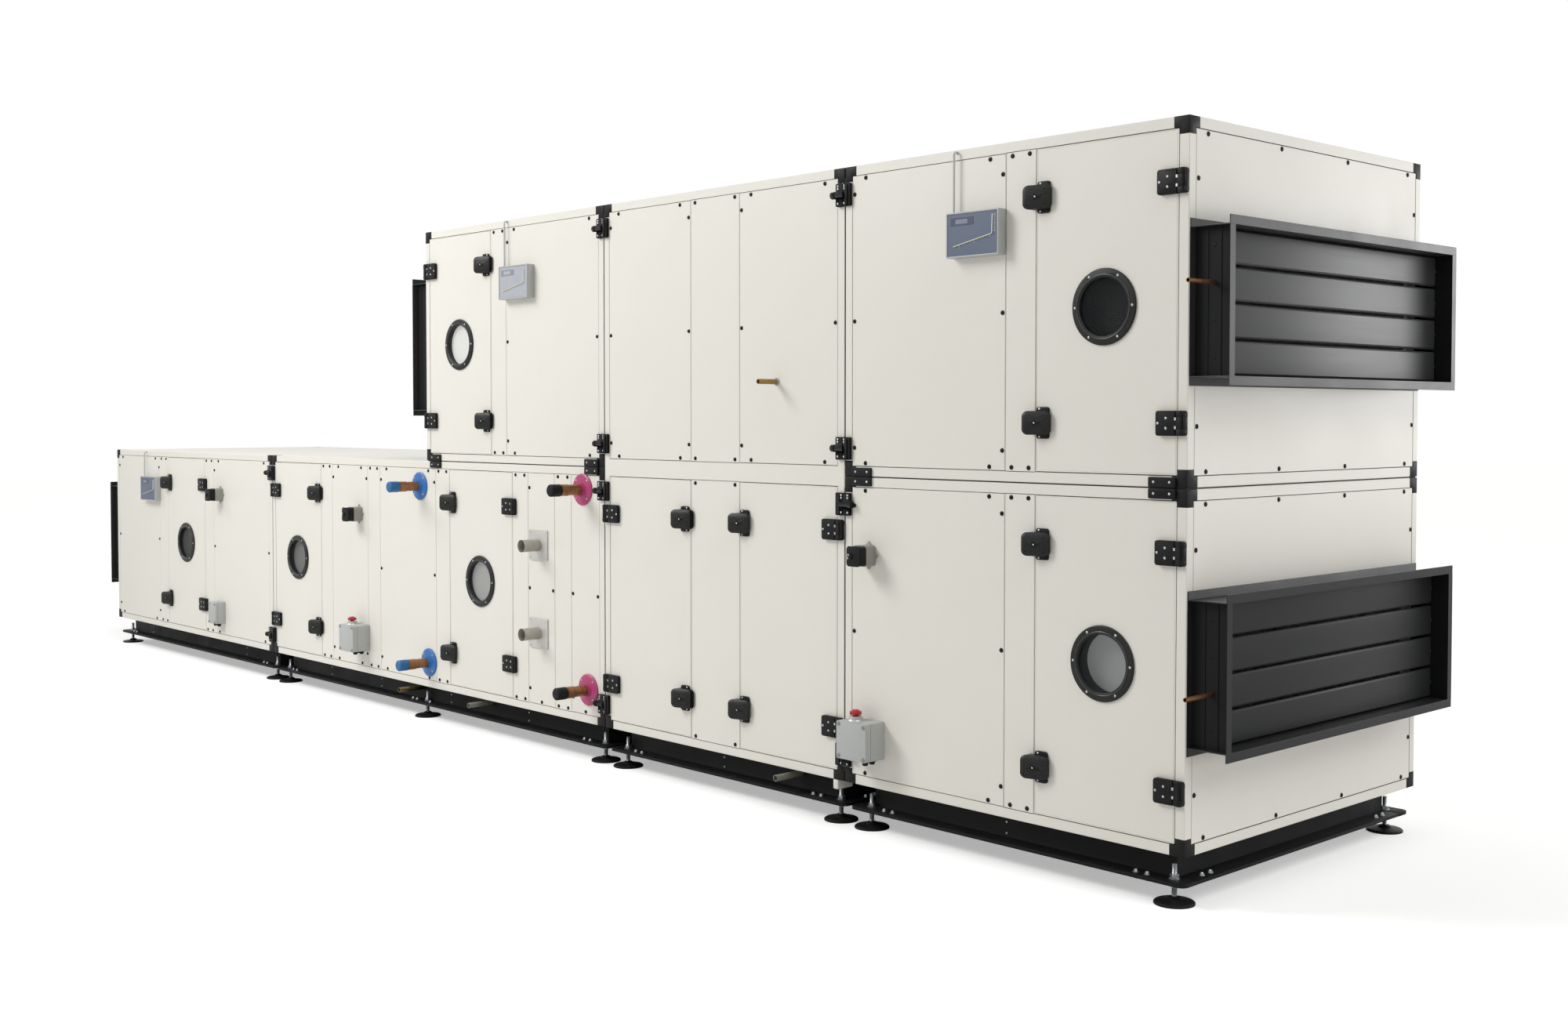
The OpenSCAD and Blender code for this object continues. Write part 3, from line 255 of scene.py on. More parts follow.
# ABS: an even satin, and glossier on the red buttons
grey_abs = mottled("light_grey_abs", "#B3B5B3", "#A8AAA8", 90, 2.5, 0.06, (0.36, 0.46))
base_abs = mottled("warm_grey_abs", "#92918A", "#86857E", 60, 2.5, 0.06, (0.40, 0.50))
red_abs = mottled("red_button_abs", "#C01F2E", "#A81826", 40, 2.5, 0.04, (0.24, 0.34))
# PVC pipe: dull grey, a little uneven
drain_pvc = mottled("grey_pvc_pipe", "#7C7B70", "#6E6D63", 40, 2.5, 0.05, (0.36, 0.48))
# Polypropylene: strong colours with a soft waxy shine
blue_pp = mottled("blue_polypropylene", "#2B6FB6", "#2462A4", 50, 2.5, 0.06, (0.34, 0.46))
cap_blue = mottled("deep_blue_pipe_cap", "#19659C", "#16578C", 50, 2.5, 0.06, (0.34, 0.46))
pink_pp = mottled("magenta_polypropylene", "#B43F74", "#A43768", 50, 2.5, 0.06, (0.36, 0.48))
# EPDM rubber: matt, and dusty enough to show grey in the light
rubber = mottled("black_epdm_rubber", "#161717", "#222323", 70, 2, 0.15, (0.72, 0.85))
print("plastics:", nylon.name, grey_abs.name, red_abs.name, blue_pp.name, pink_pp.name, rubber.name)
print("and:", base_abs.name, drain_pvc.name, cap_blue.name)

# %% [markdown]
# ## Metals
# Studs and bolts are zinc plated, coil pipes are copper that has browned in handling, one drain is brass
# and the small wall plates are galvanised sheet with its crystal spangle. A metal keeps Blender's own IOR
# and gets its look from colour, roughness and fine streaks.

# %% Metals
# Zinc plate: bright with a soft sheen. Brass: dull on the drain, brighter on the small tapping
zinc = mottled("zinc_plated_steel", "#C6C9CB", "#A9ADB0", 18, 3, 0.05, (0.26, 0.42), {"Metallic": 1.0})
brass = mottled("dull_brass", "#7F6E4C", "#5F5238", 24, 3, 0.05, (0.30, 0.46), {"Metallic": 1.0})
tapping_brass = mottled("bright_brass", "#A88A52", "#8C6E3C", 24, 3, 0.05, (0.34, 0.48), {"Metallic": 0.8})
# Steel pipe stubs that have dulled and picked up dirt
stub_steel = mottled("dull_steel_stub", "#B0ADA5", "#99958B", 30, 3, 0.05, (0.42, 0.55), {"Metallic": 0.5})

# Copper browns in spots about 36 mm wide, narrower along the pipe
copper, tree, shader, place = start_finish("browned_copper", {"Metallic": 0.85})
rings = add(tree, "ShaderNodeMapping", {"Scale": (1, 4, 1)}, {"Vector": place})
tarnish = add(tree, "ShaderNodeTexNoise", {"Scale": 28.0, "Detail": 6.0, "Distortion": 0.6},
              {"Vector": rings.outputs["Vector"]})
colour_by(tarnish.outputs["Fac"], tree, shader, "#B4825C", "#66442F", (0.28, 0.55), (0.3, 0.7))

# Zinc crystals about 14 mm wide, hardly apart in tone
galvanised, tree, shader, place = start_finish("galvanised_sheet", {"Metallic": 0.4})
spangle = add(tree, "ShaderNodeTexVoronoi", {"Scale": 1000 / 14}, {"Vector": place})
colour_by(spangle.outputs["Color"], tree, shader, "#CBC9C4", "#C3C1BC", (0.34, 0.5))


def drawn_blade(name, light, dark, specular):
    """Painted sheet with fine draw lines along the blade."""
    material, tree, shader, place = start_finish(name, {"Metallic": 0.1, "Specular IOR Level": specular})
    along = add(tree, "ShaderNodeMapping", {"Scale": (60, 0.8, 60)}, {"Vector": place})
    draw = add(tree, "ShaderNodeTexNoise", {"Scale": 6.0, "Detail": 3.0}, {"Vector": along.outputs["Vector"]})
    colour_by(draw.outputs["Fac"], tree, shader, light, dark, (0.34, 0.46))
    return material


# The upper damper is drawn a shade paler than the lower one, a painted reflection of its brighter
# surroundings, and it is glossier
blade_with_painted_reflection = drawn_blade("blade_paint_with_painted_reflection", "#2C2D2D", "#343535", 0.42)
blade_metal = drawn_blade("dark_painted_blade", "#202121", "#272828", 0.22)
print("metals:", zinc.name, brass.name, copper.name, galvanised.name, blade_with_painted_reflection.name, blade_metal.name)

# %% [markdown]
# ## Clear plastics
# The outer window panes are clear acrylic: mostly seen through, with a faint tint and a sharp reflection.
# The gauge hose is soft clear PVC, which looks pale grey against the casing.

# %% Window acrylic and hose
def hazy(name, light, dark, haze_mm, sockets):
    material, tree, shader, place = start_finish(name, sockets)
    haze = add(tree, "ShaderNodeTexNoise", {"Scale": 1000 / haze_mm, "Detail": 3.0}, {"Vector": place})
    colour_by(haze.outputs["Fac"], tree, shader, light, dark)
    return material


pane = hazy("clear_acrylic", "#5A5E60", "#505456", 120,
            {"Roughness": 0.05, "IOR": 1.49, "Alpha": 0.08, "Specular IOR Level": 0.2})
hose = hazy("clear_pvc_hose", "#D3D6D3", "#C4C8C5", 30,
            {"Roughness": 0.22, "IOR": 1.53, "Transmission Weight": 0.4})
print("clear plastics:", pane.name, hose.name)

# %% [markdown]
# ## Finishes for the CAD nodes
# Nearly every CAD node is one material on the real machine, so its finish is simply put in its slot. The few
# with more than one get copies of their parts further on.

# %% Give every CAD node its finish
FINISHES = {
    "casing_paint": cream_powder, "black_plastic": nylon, "base_paint": base_powder,
    "duct_paint": damper_paint, "blade_aluminium": blade_metal, "zinc_steel": zinc,
    "gasket_rubber": rubber, "window_glass": pane, "gauge_plastic": grey_abs, "clear_hose": hose,
    "grey_plastic": grey_abs, "red_plastic": red_abs, "copper": copper, "blue_plastic": blue_pp,
    "pink_plastic": pink_pp, "galvanised": galvanised, "brass": brass,
}
node_slots = {part["node"]: part["material_slot"] for part in frame["record"]["subparts"]}
for node, obj in frame["nodes"].items():
    obj.data.materials.clear()
    obj.data.materials.append(FINISHES[node_slots[node]])
print("finished", len(node_slots), "nodes in", len(set(node_slots.values())), "finishes")

# %% [markdown]
# ## Making pieces
# A new piece is a bmesh in casing millimetres. Small parts that repeat, such as screws, are built once as
# a template that lies flat, x to the right, y up and z out of the wall, and then stamped on every place.
# The functions below move such a template to a point and turn it to each side of the casing.

# %% Places on the casing
FACE_OUT = Matrix.Rotation(math.radians(90), 4, "X")


def at(x, y, z):
    return Matrix.Translation((x, y, z))


def on_front(x, z, out=0.0):
    return at(x, -out, z) @ FACE_OUT


def on_rear(x, z, out=0.0):
    return at(x, CASING_D + out, z) @ Matrix.Rotation(math.pi, 4, "Z") @ FACE_OUT


def on_right(y, z, x=TOTAL_L):
    return at(x, y, z) @ Matrix.Rotation(math.pi / 2, 4, "Z") @ FACE_OUT


def on_left(y, z, x=0.0):
    return at(x, y, z) @ Matrix.Rotation(-math.pi / 2, 4, "Z") @ FACE_OUT


WALLS = (on_front, on_rear, on_right, on_left)
print("the walls face", [tuple(round(v) for v in wall(0, 0).col[2][:3]) for wall in WALLS])

# %% [markdown]
# A finished piece goes from casing millimetres to the frame and gets its finish, smooth shading with sharp
# edges past an angle and the body that it rides on. Most pieces start as a disc or a block whose
# edges are rounded or whose top is inset in rings.

# %% Helpers for pieces
def stamp(target, template, places):
    for place in places:
        first = len(target.verts)
        target.from_mesh(template)
        target.verts.ensure_lookup_table()
        bmesh.ops.transform(target, matrix=place, verts=target.verts[first:])


def keep_template(shape, name):
    mesh = bpy.data.meshes.new(name)
    shape.to_mesh(mesh)
    shape.free()
    return mesh


def make_piece(name, shape, finish, body="root", sharp_deg=35):
    bmesh.ops.transform(shape, matrix=CASING_TO_FRAME, verts=shape.verts)
    mesh = keep_template(shape, name)
    mesh.materials.append(finish)
    mesh.shade_smooth()
    mesh.set_sharp_from_angle(angle=math.radians(sharp_deg))
    obj = bpy.data.objects.new(name, mesh)
    bpy.context.scene.collection.objects.link(obj)
    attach(obj, body)
    return obj


def disc(shape, radius, depth, segments, top_radius=None, place=Matrix.Identity(4)):
    """A round boss that stands on z = 0."""
    top = radius if top_radius is None else top_radius
    lift = place @ at(0, 0, depth / 2)
    return bmesh.ops.create_cone(shape, cap_ends=True, segments=segments, radius1=radius, radius2=top,
                                 depth=depth, matrix=lift)["verts"]


def round_edges(shape, edges, offset, steps=2, clamp=False):
    bmesh.ops.bevel(shape, geom=edges, offset=offset, segments=steps, profile=0.5, affect="EDGES",
                    material=-1, clamp_overlap=clamp)


def block(shape, width, height, depth, place=Matrix.Identity(4), edge=0.0, steps=2):
    """A block that stands on z = 0, with its edges rounded."""
    size = place @ at(0, 0, depth / 2) @ Matrix.Diagonal((width, height, depth, 1))
    made = bmesh.ops.create_cube(shape, size=1, matrix=size)["verts"]
    if edge:
        round_edges(shape, list({e for v in made for e in v.link_edges}), edge, steps)


def top_of(shape):
    return max(shape.faces, key=lambda f: f.calc_center_median().z)


def inset(shape, face, *rings):
    """Inset a face ring by ring: the width of each ring and how far it is lifted."""
    for width, lift in rings:
        bmesh.ops.inset_region(shape, faces=[face], thickness=width, depth=lift)


trial = bmesh.new()
block(trial, 10, 10, 10, edge=1)
print("a block with rounded edges has", len(trial.faces), "faces")
trial.free()

# %% [markdown]
# ## Panel screws
# Every fixed panel is held by black dome screws near its edges, and each upright strip by two at either
# end. The dome is a short cone whose top is inset and lifted, with a small recess for the driver. It has
# only a few dozen faces, because it is stamped hundreds of times.

# %% A dome screw
dome = bmesh.new()
disc(dome, 7.4, 2.2, 12, 6.5)
inset(dome, top_of(dome), (1.8, 0.9), (1.6, 0.1), (0.5, -1.0))
dome_screw = keep_template(dome, "dome_screw")
print("a dome screw has", len(dome_screw.polygons), "faces")

# %% [markdown]
# A front is a row of bays between the frame's uprights: panels, doors and strips. The screws follow from the
# bays, so only their widths are written down. The backs are equal panels with strips between them.

# %% Where the dome screws go
SCREW_IN = 12
SCREW_CORNER = 62
STRIP_SCREW_IN = 24
SHORT_PANEL = 400
OPEN_H = DECK_H - 2 * BAR_FACE
STRIP = ("strip", 113)
DOOR_W = 494
DOOR = ("door", DOOR_W)
# A front: left end of the section, underside of the deck, bays from left to right
FRONTS = [
    (0, 0, [("panel", 605), STRIP, DOOR, STRIP, ("panel", 671)]),
    (2062, 0, [DOOR, STRIP, ("panel", 347), STRIP, ("panel", 494), STRIP, DOOR, STRIP, ("narrow", 190), STRIP,
               ("narrow", 190)]),
    (4902, 0, [DOOR, ("strip", 267), DOOR]),
    (6223, 0, [("panel", 648), STRIP, DOOR]),
    (4902, DECK_PITCH, [("panel", 494), ("strip", 267), ("panel", 494)]),
    (6223, DECK_PITCH, [("panel", 648), STRIP, DOOR]),
    (3581, DECK_PITCH, [DOOR, STRIP, ("panel", 648)]),
]
# A back: left end, underside, length of the section, equal panels across it
REARS = [(0, 0, 2058, 2), (2062, 0, 2836, 3), (4902, 0, 1317, 2), (4902, DECK_PITCH, 1317, 2),
         (6223, 0, 1317, 2), (6223, DECK_PITCH, 1317, 2), (3581, DECK_PITCH, 1317, 2)]


def panel_points(x, z, width, height):
    corner_in = min(SCREW_CORNER, width / 4)
    for edge_z in (z + SCREW_IN, z + height - SCREW_IN):
        yield x + corner_in, edge_z
        yield x + width - corner_in, edge_z
    middle = [z + height / 2] if width > SHORT_PANEL else []
    for edge_x in (x + SCREW_IN, x + width - SCREW_IN):
        for side_z in [z + SCREW_CORNER, z + height - SCREW_CORNER] + middle:
            yield edge_x, side_z


def narrow_points(x, z, width, height):
    yield x + width / 2, z + SCREW_IN
    yield x + width - SCREW_IN, z + height / 2
    for side_z in (z + SCREW_CORNER, z + height / 2, z + height - SCREW_CORNER):
        yield x + SCREW_IN, side_z


def strip_points(x, z, width, height):
    for edge_z in (z + SCREW_IN, z + height - SCREW_IN):
        yield x + STRIP_SCREW_IN, edge_z
        yield x + width - STRIP_SCREW_IN, edge_z


front_points = []
strip_ends = []
for left, under, bays in FRONTS:
    x = left + BAR_FACE
    for kind, width in bays:
        if kind == "strip":
            strip_ends += [(x + width / 2, z, width) for z in (under + BAR_FACE, under + BAR_FACE + OPEN_H)]
        points = {"panel": panel_points, "narrow": narrow_points, "strip": strip_points}.get(kind)
        if points:
            front_points += points(x, under + BAR_FACE, width, OPEN_H)
        x += width
rear_points = []
for left, under, length, count in REARS:
    width = (length - 2 * BAR_FACE - (count - 1) * STRIP[1]) / count
    for i in range(count):
        x = left + BAR_FACE + i * (width + STRIP[1])
        rear_points += panel_points(x, under + BAR_FACE, width, OPEN_H)
        if i:
            rear_points += strip_points(x - STRIP[1], under + BAR_FACE, STRIP[1], OPEN_H)

screws = bmesh.new()
stamp(screws, dome_screw, [on_front(x, z) for x, z in front_points])
stamp(screws, dome_screw, [on_rear(x, z) for x, z in rear_points])
make_piece("front_and_rear_screws", screws, nylon)
print("dome screws:", len(front_points), "in front,", len(rear_points), "behind")

# %% [markdown]
# Each end has two narrow panels, below and above its duct opening, with a row of screws along the outer
# edge and one on either side. The roof panels are clipped in and show none.

# %% Screws on the ends
PANEL_D = CASING_D - 2 * BAR_FACE
RIGHT_DUCT_H = 404
LEFT_DUCT_H = 563
ROW_IN = 58


def end_points(deck, duct_h):
    height = (OPEN_H - duct_h) / 2
    for lower, outer in ((deck + BAR_FACE, SCREW_IN), (deck + DECK_H - BAR_FACE - height, height - SCREW_IN)):
        for i in range(4):
            yield BAR_FACE + ROW_IN + i * (PANEL_D - 2 * ROW_IN) / 3, lower + outer
        for side_y in (BAR_FACE + SCREW_IN, CASING_D - BAR_FACE - SCREW_IN):
            yield side_y, lower + height / 2


end_screws = bmesh.new()
for deck in (0, DECK_PITCH):
    stamp(end_screws, dome_screw, [on_right(y, z) for y, z in end_points(deck, RIGHT_DUCT_H)])
for left, deck in ((0, 0), (3581, DECK_PITCH)):
    stamp(end_screws, dome_screw, [on_left(y, z, left) for y, z in end_points(deck, LEFT_DUCT_H)])
make_piece("end_screws", end_screws, nylon)
print("end screws on 4 end walls")

# %% [markdown]
# ## Seams
# The gasket between two sections is squeezed out almost flush with the casing, so the upright seams read as
# dark lines. Thin black strips in the gaps round the end panels are painted shade for those gaps, and a finer
# line parts the upright strips from the frame above and below them.

# %% Seam gaskets and painted gap shade round the end panels
seams = bmesh.new()
for x, low, high in ((2060, 0, DECK_H), (4900, 0, DECK_H), (6221, 0, DECK_H), (4900, DECK_PITCH, TOTAL_H),
                     (6221, DECK_PITCH, TOTAL_H)):
    for side in (on_front, on_rear):
        block(seams, 4, high - low - 70, 3.2, side(x, (low + high) / 2, -4.0), edge=0.4, steps=1)
for x, z, width in strip_ends:
    block(seams, width - 1, 1.7, 1.0, on_front(x, z, -0.85), edge=0.2, steps=1)
make_piece("seam_gaskets", seams, rubber)
# Painted shade: thin black strips, in the rubber finish, sit in the gaps round the end panels
gap_shade_strips = bmesh.new()
END_PANEL_H = (OPEN_H - RIGHT_DUCT_H) / 2
GAP_SHADE_X = TOTAL_L - 2.2
for deck in (0, DECK_PITCH):
    for low, edge_z in ((deck + BAR_FACE, deck + BAR_FACE + 1),
                        (deck + DECK_H - BAR_FACE - END_PANEL_H, deck + DECK_H - BAR_FACE - 1)):
        block(gap_shade_strips, PANEL_D, 2, 1.5, on_right(CASING_D / 2, edge_z, GAP_SHADE_X), edge=0.2, steps=1)
        middle_z = low + END_PANEL_H / 2
        for y in (BAR_FACE + 1, CASING_D - BAR_FACE - 1):
            block(gap_shade_strips, 2, END_PANEL_H, 1.5, on_right(y, middle_z, GAP_SHADE_X), edge=0.2, steps=1)
make_piece("end_panel_gap_shade", gap_shade_strips, rubber)
# The end panels' gap strips are painted shade
print("seams: 10 gasket lines,", len(strip_ends), "strip ends, 4 end panels gap_shaded")

# %% [markdown]
# ## Moulded corners, clamps and links
# The black mouldings have rounded edges that catch a thin line of light. Their CAD shapes are right, so a
# copy of each is merged, its flat faces are joined and its sharp edges bevelled by about a millimetre.

# %% Softened copies of CAD nodes
FRAME_TO_CASING = CASING_TO_FRAME.inverted()
node_bodies = {node: body for body, nodes in frame["record"]["behaviour"]["bodies"].items() for node in nodes}


def softened(name, node, finish, edge_mm, keep=None, between=(), sharp_deg=35):
    """A copy of a CAD node, or of the part that keep or between names, with its sharp edges rounded."""
    shape = bmesh.new()
    shape.from_mesh(frame["nodes"][node].data)
    bmesh.ops.transform(shape, matrix=FRAME_TO_CASING, verts=shape.verts)
    bmesh.ops.remove_doubles(shape, verts=shape.verts, dist=0.004)
    if keep:
        gone = [f for f in shape.faces if not keep(f.calc_center_median())]
        bmesh.ops.delete(shape, geom=gone, context="FACES")
    for y, side in zip(between, (-1, 1)):
        everything = shape.verts[:] + shape.edges[:] + shape.faces[:]
        bmesh.ops.bisect_plane(shape, geom=everything, plane_co=(0, y, 0), plane_no=(0, side, 0),
                               clear_outer=True)
        bmesh.ops.holes_fill(shape, edges=[e for e in shape.edges if e.is_boundary])
    bmesh.ops.dissolve_limit(shape, angle_limit=math.radians(0.3), verts=shape.verts, edges=shape.edges)
    sharp = [e for e in shape.edges if e.is_manifold and e.calc_face_angle() > math.radians(28)]
    round_edges(shape, sharp, edge_mm, clamp=True)
    obj = make_piece(name, shape, finish, node_bodies[node], sharp_deg)
    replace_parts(obj, node)
    return obj


# The upper boxes are lamp switches, and the leftmost isolator is smaller and made further on
SWITCHES_ABOVE = 400
SMALL_BOX_LEFT_OF = 2000


def big_isolator(point):
    return point.z < SWITCHES_ABOVE and point.x > SMALL_BOX_LEFT_OF


softened("soft_corner_pieces", "corner_pieces", nylon, 1.6)
softened("soft_section_clamps", "section_clamps", nylon, 1.0)
softened("soft_deck_links", "deck_links", nylon, 1.0)
softened("soft_hinge_brackets", "hinge_brackets", nylon, 0.9)
softened("soft_isolators", "switch_boxes", grey_abs, 1.2, big_isolator)
softened("soft_switch_bases", "switch_boxes", base_abs, 1.2, lambda point: point.z > SWITCHES_ABOVE)
softened("soft_switch_covers", "switch_covers", nylon, 1.5)
softened("soft_stop_buttons", "stop_buttons", red_abs, 1.2)
softened("soft_gauge_housings", "pressure_gauges", grey_abs, 1.0)

# %% [markdown]
# ## Bright screws
# Handles, hinges, clamps and links are held by small zinc plated screws with a cross recess. Seen from a
# few metres they are light dots, so a head of eight sides with a sunk middle is enough.

# %% A small screw, and the screws of clamps and links
small = bmesh.new()
disc(small, 4.0, 1.2, 8, 3.4)
inset(small, top_of(small), (1.1, 0.5), (0.6, -0.9))
small_screw = keep_template(small, "small_screw")

# A clamp: middle of the seam, deck, side of the bolt head
CLAMPS = [(2060, 0, -1), (4900, 0, -1), (4900, DECK_PITCH, -1), (6221, 0, 1), (6221, DECK_PITCH, -1)]
CLAMP_SCREWS = [(23, 29), (23, 20), (23, -28), (-6.5, 29), (-6.5, 20), (-6.5, -28)]
CLAMP_END = 90
CLAMP_T = 12
LINKS = (3660, 4819, 6302, 7461)
LINK_T = 7
DECK_JOINT = DECK_H + 2
places = []
for x, deck, side in CLAMPS:
    for z in (deck + CLAMP_END, deck + DECK_H - CLAMP_END):
        for dx, dz in CLAMP_SCREWS:
            places += [wall(x + side * dx, z + dz, CLAMP_T) for wall in (on_front, on_rear)]
for x in LINKS:
    for dx in (-26, 26):
        for dz in (-16, 16):
            places += [wall(x + dx, DECK_JOINT + dz, LINK_T) for wall in (on_front, on_rear)]
joint_screws = bmesh.new()
stamp(joint_screws, small_screw, places)
make_piece("clamp_and_link_screws", joint_screws, zinc)
print("clamp and link screws:", len(places))

# %% [markdown]
# ## Door furniture
# Each door hangs on two hinges and closes with two compression handles. A handle is a wedge over a screwed
# plate: tall on its left, where the hand grips, and low on its right, with a crowned face. All are the same
# moulding, so on left-hung doors the grip reaches further over the leaf. It starts as a block with rounded
# edges whose front is inset into rings. Then every point is lifted to the height of the crown at its place.

# %% The handle body and its lock
HANDLE_IN = 21
LEFT_HUNG_IN = 32
HANDLE_W = 82
HANDLE_H = 70
HANDLE_LOW = 17
HANDLE_TOP = 39.8
HANDLE_SLOPE = 0.303
CROWN_DROP = 4
CROWN_R = 74
PLATE_T = 6


def handle_height(x, y):
    """Height of the crown over the door at a point of the handle, x towards its grip."""
    slope = HANDLE_LOW + (x + HANDLE_W / 2) * HANDLE_SLOPE
    across = CROWN_DROP * ((x + 3) / 38) ** 2
    along = CROWN_R - math.sqrt(CROWN_R ** 2 - y ** 2)
    return min(HANDLE_TOP, slope + CROWN_DROP - math.hypot(across, along))


wedge = bmesh.new()
block(wedge, HANDLE_W, HANDLE_H, 1)
upright = [e for e in wedge.edges if abs(e.verts[0].co.z - e.verts[1].co.z) > 0.5]
round_edges(wedge, upright, 15, 5)
front = top_of(wedge)
for width, drop in ((0.9, 0.035), (2.0, 0.035), (8, 0), (9, 0), (9, 0)):
    for vert in front.verts:
        vert.co.z -= drop
    inset(wedge, front, (width, drop))
bmesh.ops.poke(wedge, faces=[front])
for vert in wedge.verts:
    vert.co.z *= handle_height(vert.co.x, vert.co.y) - PLATE_T
handle_body = keep_template(wedge, "handle_body")

barrel = bmesh.new()
disc(barrel, 7, 1.6, 20, 6.4)
inset(barrel, top_of(barrel), (1.6, -0.2), (0.4, -1.2))
lock_barrel = keep_template(barrel, "lock_barrel")
LOCK_TILT = Matrix.Rotation(math.radians(-16), 4, "Y")
slot_mark = bmesh.new()
block(slot_mark, 6, 8, 0.8, edge=0.3, steps=1)
hinge_mark = keep_template(slot_mark, "hinge_mark")
print("handle body has", len(handle_body.polygons), "faces")

# %% [markdown]
# Windows are double: a clear pane behind the black rim and a hazy one on the inner side of the leaf, with a
# black liner between them. The liner is a tube: a disc whose mouth is inset and pushed in, with its bottom
# taken out and the two open loops bridged. A polished lip, a small circle spun round the window's axis, runs
# round the inner edge of the rim. The inner panes are dark in some sections and pale in others, and most of
# them carry a painted glow that stands in for the light inside the section.

# %% Window liner and inner panes
def spin_round(shape, outline, steps):
    """Spin an outline once round the z axis and close it."""
    bmesh.ops.spin(shape, geom=outline, cent=(0, 0, 0), axis=(0, 0, 1), angle=2 * math.pi, steps=steps,
                   use_merge=True)
    bmesh.ops.remove_doubles(shape, verts=shape.verts, dist=0.001)
    bmesh.ops.recalc_face_normals(shape, faces=shape.faces)


cup = bmesh.new()
disc(cup, 93.5, 37, 40)
mouth = top_of(cup)
inset(cup, mouth, (4.6, 0), (0.2, -34.4))
back = min(cup.faces, key=lambda f: f.calc_center_median().z)
inset(cup, back, (4.8, 0))
bmesh.ops.delete(cup, geom=[mouth, back], context="FACES")
bmesh.ops.bridge_loops(cup, edges=[e for e in cup.edges if e.is_boundary])
window_liner = keep_template(cup, "window_liner")
inner = bmesh.new()
disc(inner, 88.4, 1.5, 40, 87.8)
inner_disc = keep_template(inner, "inner_disc")
LINER_BACK = 50
bead = bmesh.new()
upright = at(91.5, 0, 0) @ FACE_OUT
line = bmesh.ops.create_circle(bead, segments=8, radius=2.2, matrix=upright)["verts"]
spin_round(bead, line + list({e for v in line for e in v.link_edges}), 40)
window_lip = keep_template(bead, "window_lip")


def inner_pane(name, light, dark, painted_glow_colour, glow):
    """A hazy pane with a painted glow that stands in for the light coming through it from inside the section.
    """
    return hazy(name, light, dark, 150, {"Roughness": 0.5, "Specular IOR Level": 0.1,
                                         "Emission Color": linear(painted_glow_colour), "Emission Strength": glow})


# The glows are painted light: brightest on the pale pane, none on the dark one.
pale_view = inner_pane("pale_inner_pane", "#C9C9C5", "#C0C0BC", "#EDEBE7", 0.48)
light_view = inner_pane("light_grey_inner_pane", "#9A9A98", "#90908E", "#A7A7A5", 0.4)
grey_view = inner_pane("hazy_grey_inner_pane", "#A2A4A4", "#929494", "#6F7271", 0.5)
smoky_view = inner_pane("smoky_inner_pane", "#767674", "#6A6A68", "#6F7271", 0.3)
dim_view = inner_pane("dim_inner_pane", "#484845", "#3E3E3B", "#6F6F6C", 0.08)
dark_view = inner_pane("dark_inner_pane", "#131414", "#0E0F0F", "#202020", 0.0)
print("inner panes:", pale_view.name, light_view.name, grey_view.name, smoky_view.name)
print("and darker ones:", dim_view.name, dark_view.name)

# %% [markdown]
# The doors differ only in place, hinge side and window, so one loop dresses them all: handles, locks,
# bright screws, window, a folded hem round the leaf that narrows the gap, and the rubber seal that sits
# behind the leaf and presses on the frame's lip.

# %% Doors and the sizes of their fittings
FITTING_Z = 330
MID_Z = DECK_H / 2
HINGE_T = 13
HINGE_SCREWS = [(57.5, 0), (31, 14), (31, -14)]
PLATE_SCREW_IN = 20
PLATE_SCREW_Z = 40.5
RIM_T = 7
RIM_SCREW_R = 99
SEAL_IN = 18
SEAL_BAR = (16, 5)
SEAL_BACK = 27
GAP = 6
HEM = 3
HEM_BACK = 2.9
# Left edge of the opening, underside of the deck, hinge side, inner pane and its depth in the leaf
DOORS = {
    "door_a": [(749, 0, "right", (dim_view, 17))],
    "door_b_left": [(2093, 0, "left", (smoky_view, 22))],
    "door_b_right": [(3767, 0, "right", (light_view, 16.5))],
    "door_c_left": [(4933, 0, "left", None)],
    "door_c_right": [(5694, 0, "right", None)],
    "door_d": [(7015, 0, "right", (grey_view, 47.5))],
    "upper_door": [(7015, DECK_PITCH, "right", (dark_view, 47.5)),
                   (3612, DECK_PITCH, "left", (pale_view, 16))],
}
print("doors:", ", ".join(DOORS))

# %% [markdown]
# Screws on a flange stand in a circle, and seal and hem are four bars in a ring, so each gets a helper. A
# handle turned by half a turn has its grip on the left.

# %% Helpers for one door
HALF_TURN = Matrix.Rotation(math.pi, 4, "Z")


def circle_of(place, radius, count, first_deg=0):
    turns = [Matrix.Rotation(math.radians(first_deg + 360 / count * i), 4, "Z") for i in range(count)]
    return [place @ turn @ at(radius, 0, 0) for turn in turns]


def ring_of_bars(shape, x, z, inside, lengths, bar, back, edge):
    """Four bars inside a door's outline: lengths across and up, bar width and thickness, depth."""
    for dz in (inside - OPEN_H / 2, OPEN_H / 2 - inside):
        block(shape, lengths[0], *bar, on_front(x, z + dz, -back), edge=edge)
    for dx in (inside - DOOR_W / 2, DOOR_W / 2 - inside):
        block(shape, bar[0], lengths[1], bar[1], on_front(x + dx, z, -back), edge=edge)


